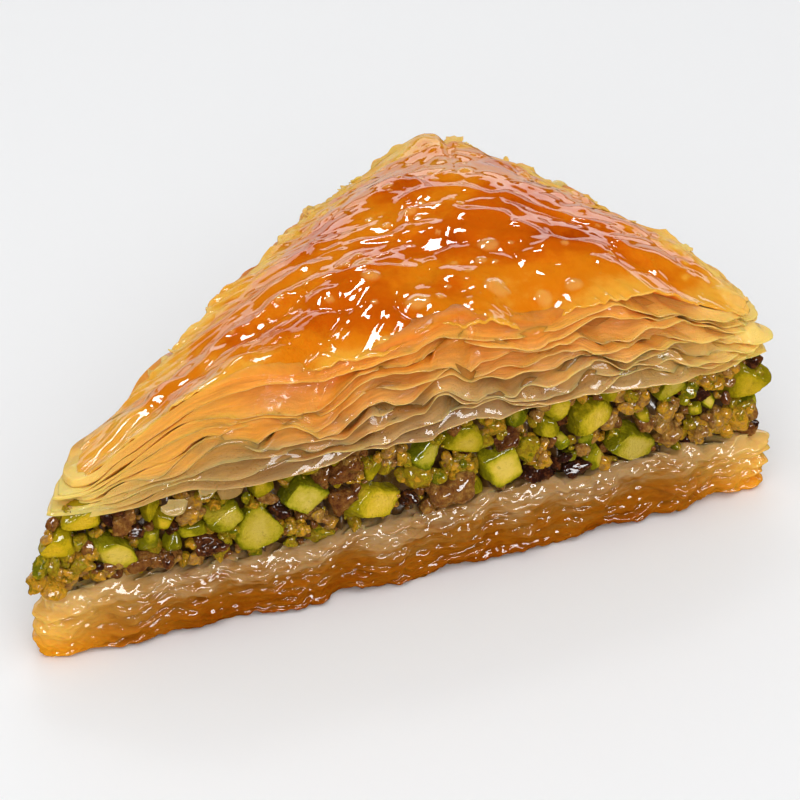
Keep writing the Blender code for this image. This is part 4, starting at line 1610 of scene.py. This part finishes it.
def softbox(name, azimuth, elevation, distance, size, power, mirrored=False, lights=True):
    """A rectangular lamp that faces the piece. Azimuth 0 is in front of it, 90 to its right.

    Broad lamps light the piece but leave no reflection. Mirrored ones give its highlights.
    """
    a, e = math.radians(azimuth), math.radians(elevation)
    away = Vector((math.sin(a) * math.cos(e), -math.cos(a) * math.cos(e), math.sin(e)))
    data = bpy.data.lights.new(name, "AREA")
    data.shape = "RECTANGLE"
    data.size, data.size_y = size
    data.energy = power
    lamp = bpy.data.objects.new(name, data)
    lamp.location = away * distance + Vector((0, 0, 0.02))
    lamp.rotation_mode = "QUATERNION"
    lamp.rotation_quaternion = away.to_track_quat("Z", "Y")
    lamp.visible_glossy = mirrored
    lamp.visible_diffuse = lights
    lamp.visible_camera = False
    bpy.context.scene.collection.objects.link(lamp)


def studio():
    mesh = bpy.data.meshes.new("floor")
    half = FLOOR_SIZE / 2
    mesh.from_pydata([(-half, -half, 0), (half, -half, 0), (half, half, 0), (-half, half, 0)], [], [(0, 1, 2, 3)])
    floor = bpy.data.objects.new("floor", mesh)
    bpy.context.scene.collection.objects.link(floor)
    look = Look("floor")
    look.finish((0.89, 0.895, 0.905, 1.0), look.bump(look.noise(3.0), 0.002), 0.6, 0.0)
    mesh.materials.append(look.material)
    floor.visible_glossy = False
    softbox("top_fill", -15, 72, 1.6, (1.6, 1.6), 11.0)
    softbox("front_fill", -20, 28, 1.6, (1.4, 0.9), 9.0)
    softbox("rear_fill", 160, 34, 3.0, (2.6, 1.6), 5.0)
    softbox("back_wall", 148, 11, 1.5, (1.7, 0.36), 3.6, mirrored=True, lights=False)
    softbox("left_wall", -158, 13, 1.5, (1.3, 0.34), 2.2, mirrored=True, lights=False)
    softbox("low_wall", 176, -9, 1.5, (2.4, 0.44), 2.4, mirrored=True, lights=False)
    softbox("back_box", 166, 52, 1.0, (0.22, 0.16), 3.4, mirrored=True, lights=False)
    softbox("left_box", -150, 50, 1.0, (0.18, 0.15), 2.4, mirrored=True, lights=False)
    softbox("top_box", -60, 74, 1.0, (0.13, 0.13), 1.7, mirrored=True, lights=False)
    softbox("front_box", 20, 30, 1.0, (0.80, 0.24), 15.0, mirrored=True, lights=False)
    softbox("side_box", -58, 34, 1.0, (0.22, 0.22), 3.6, mirrored=True, lights=False)
    world = bpy.data.worlds.new("world")
    world.use_nodes = True
    world.node_tree.nodes["Background"].inputs["Color"].default_value = (1, 1, 1, 1)
    world.node_tree.nodes["Background"].inputs["Strength"].default_value = 0.51
    world.cycles_visibility.glossy = False
    bpy.context.scene.world = world
    bpy.context.scene.view_settings.view_transform = "Standard"


camera()
studio()
soaked_base()
leaf_material = top_leaves()
glazed_skin()
filling()
loose_flakes(leaf_material)
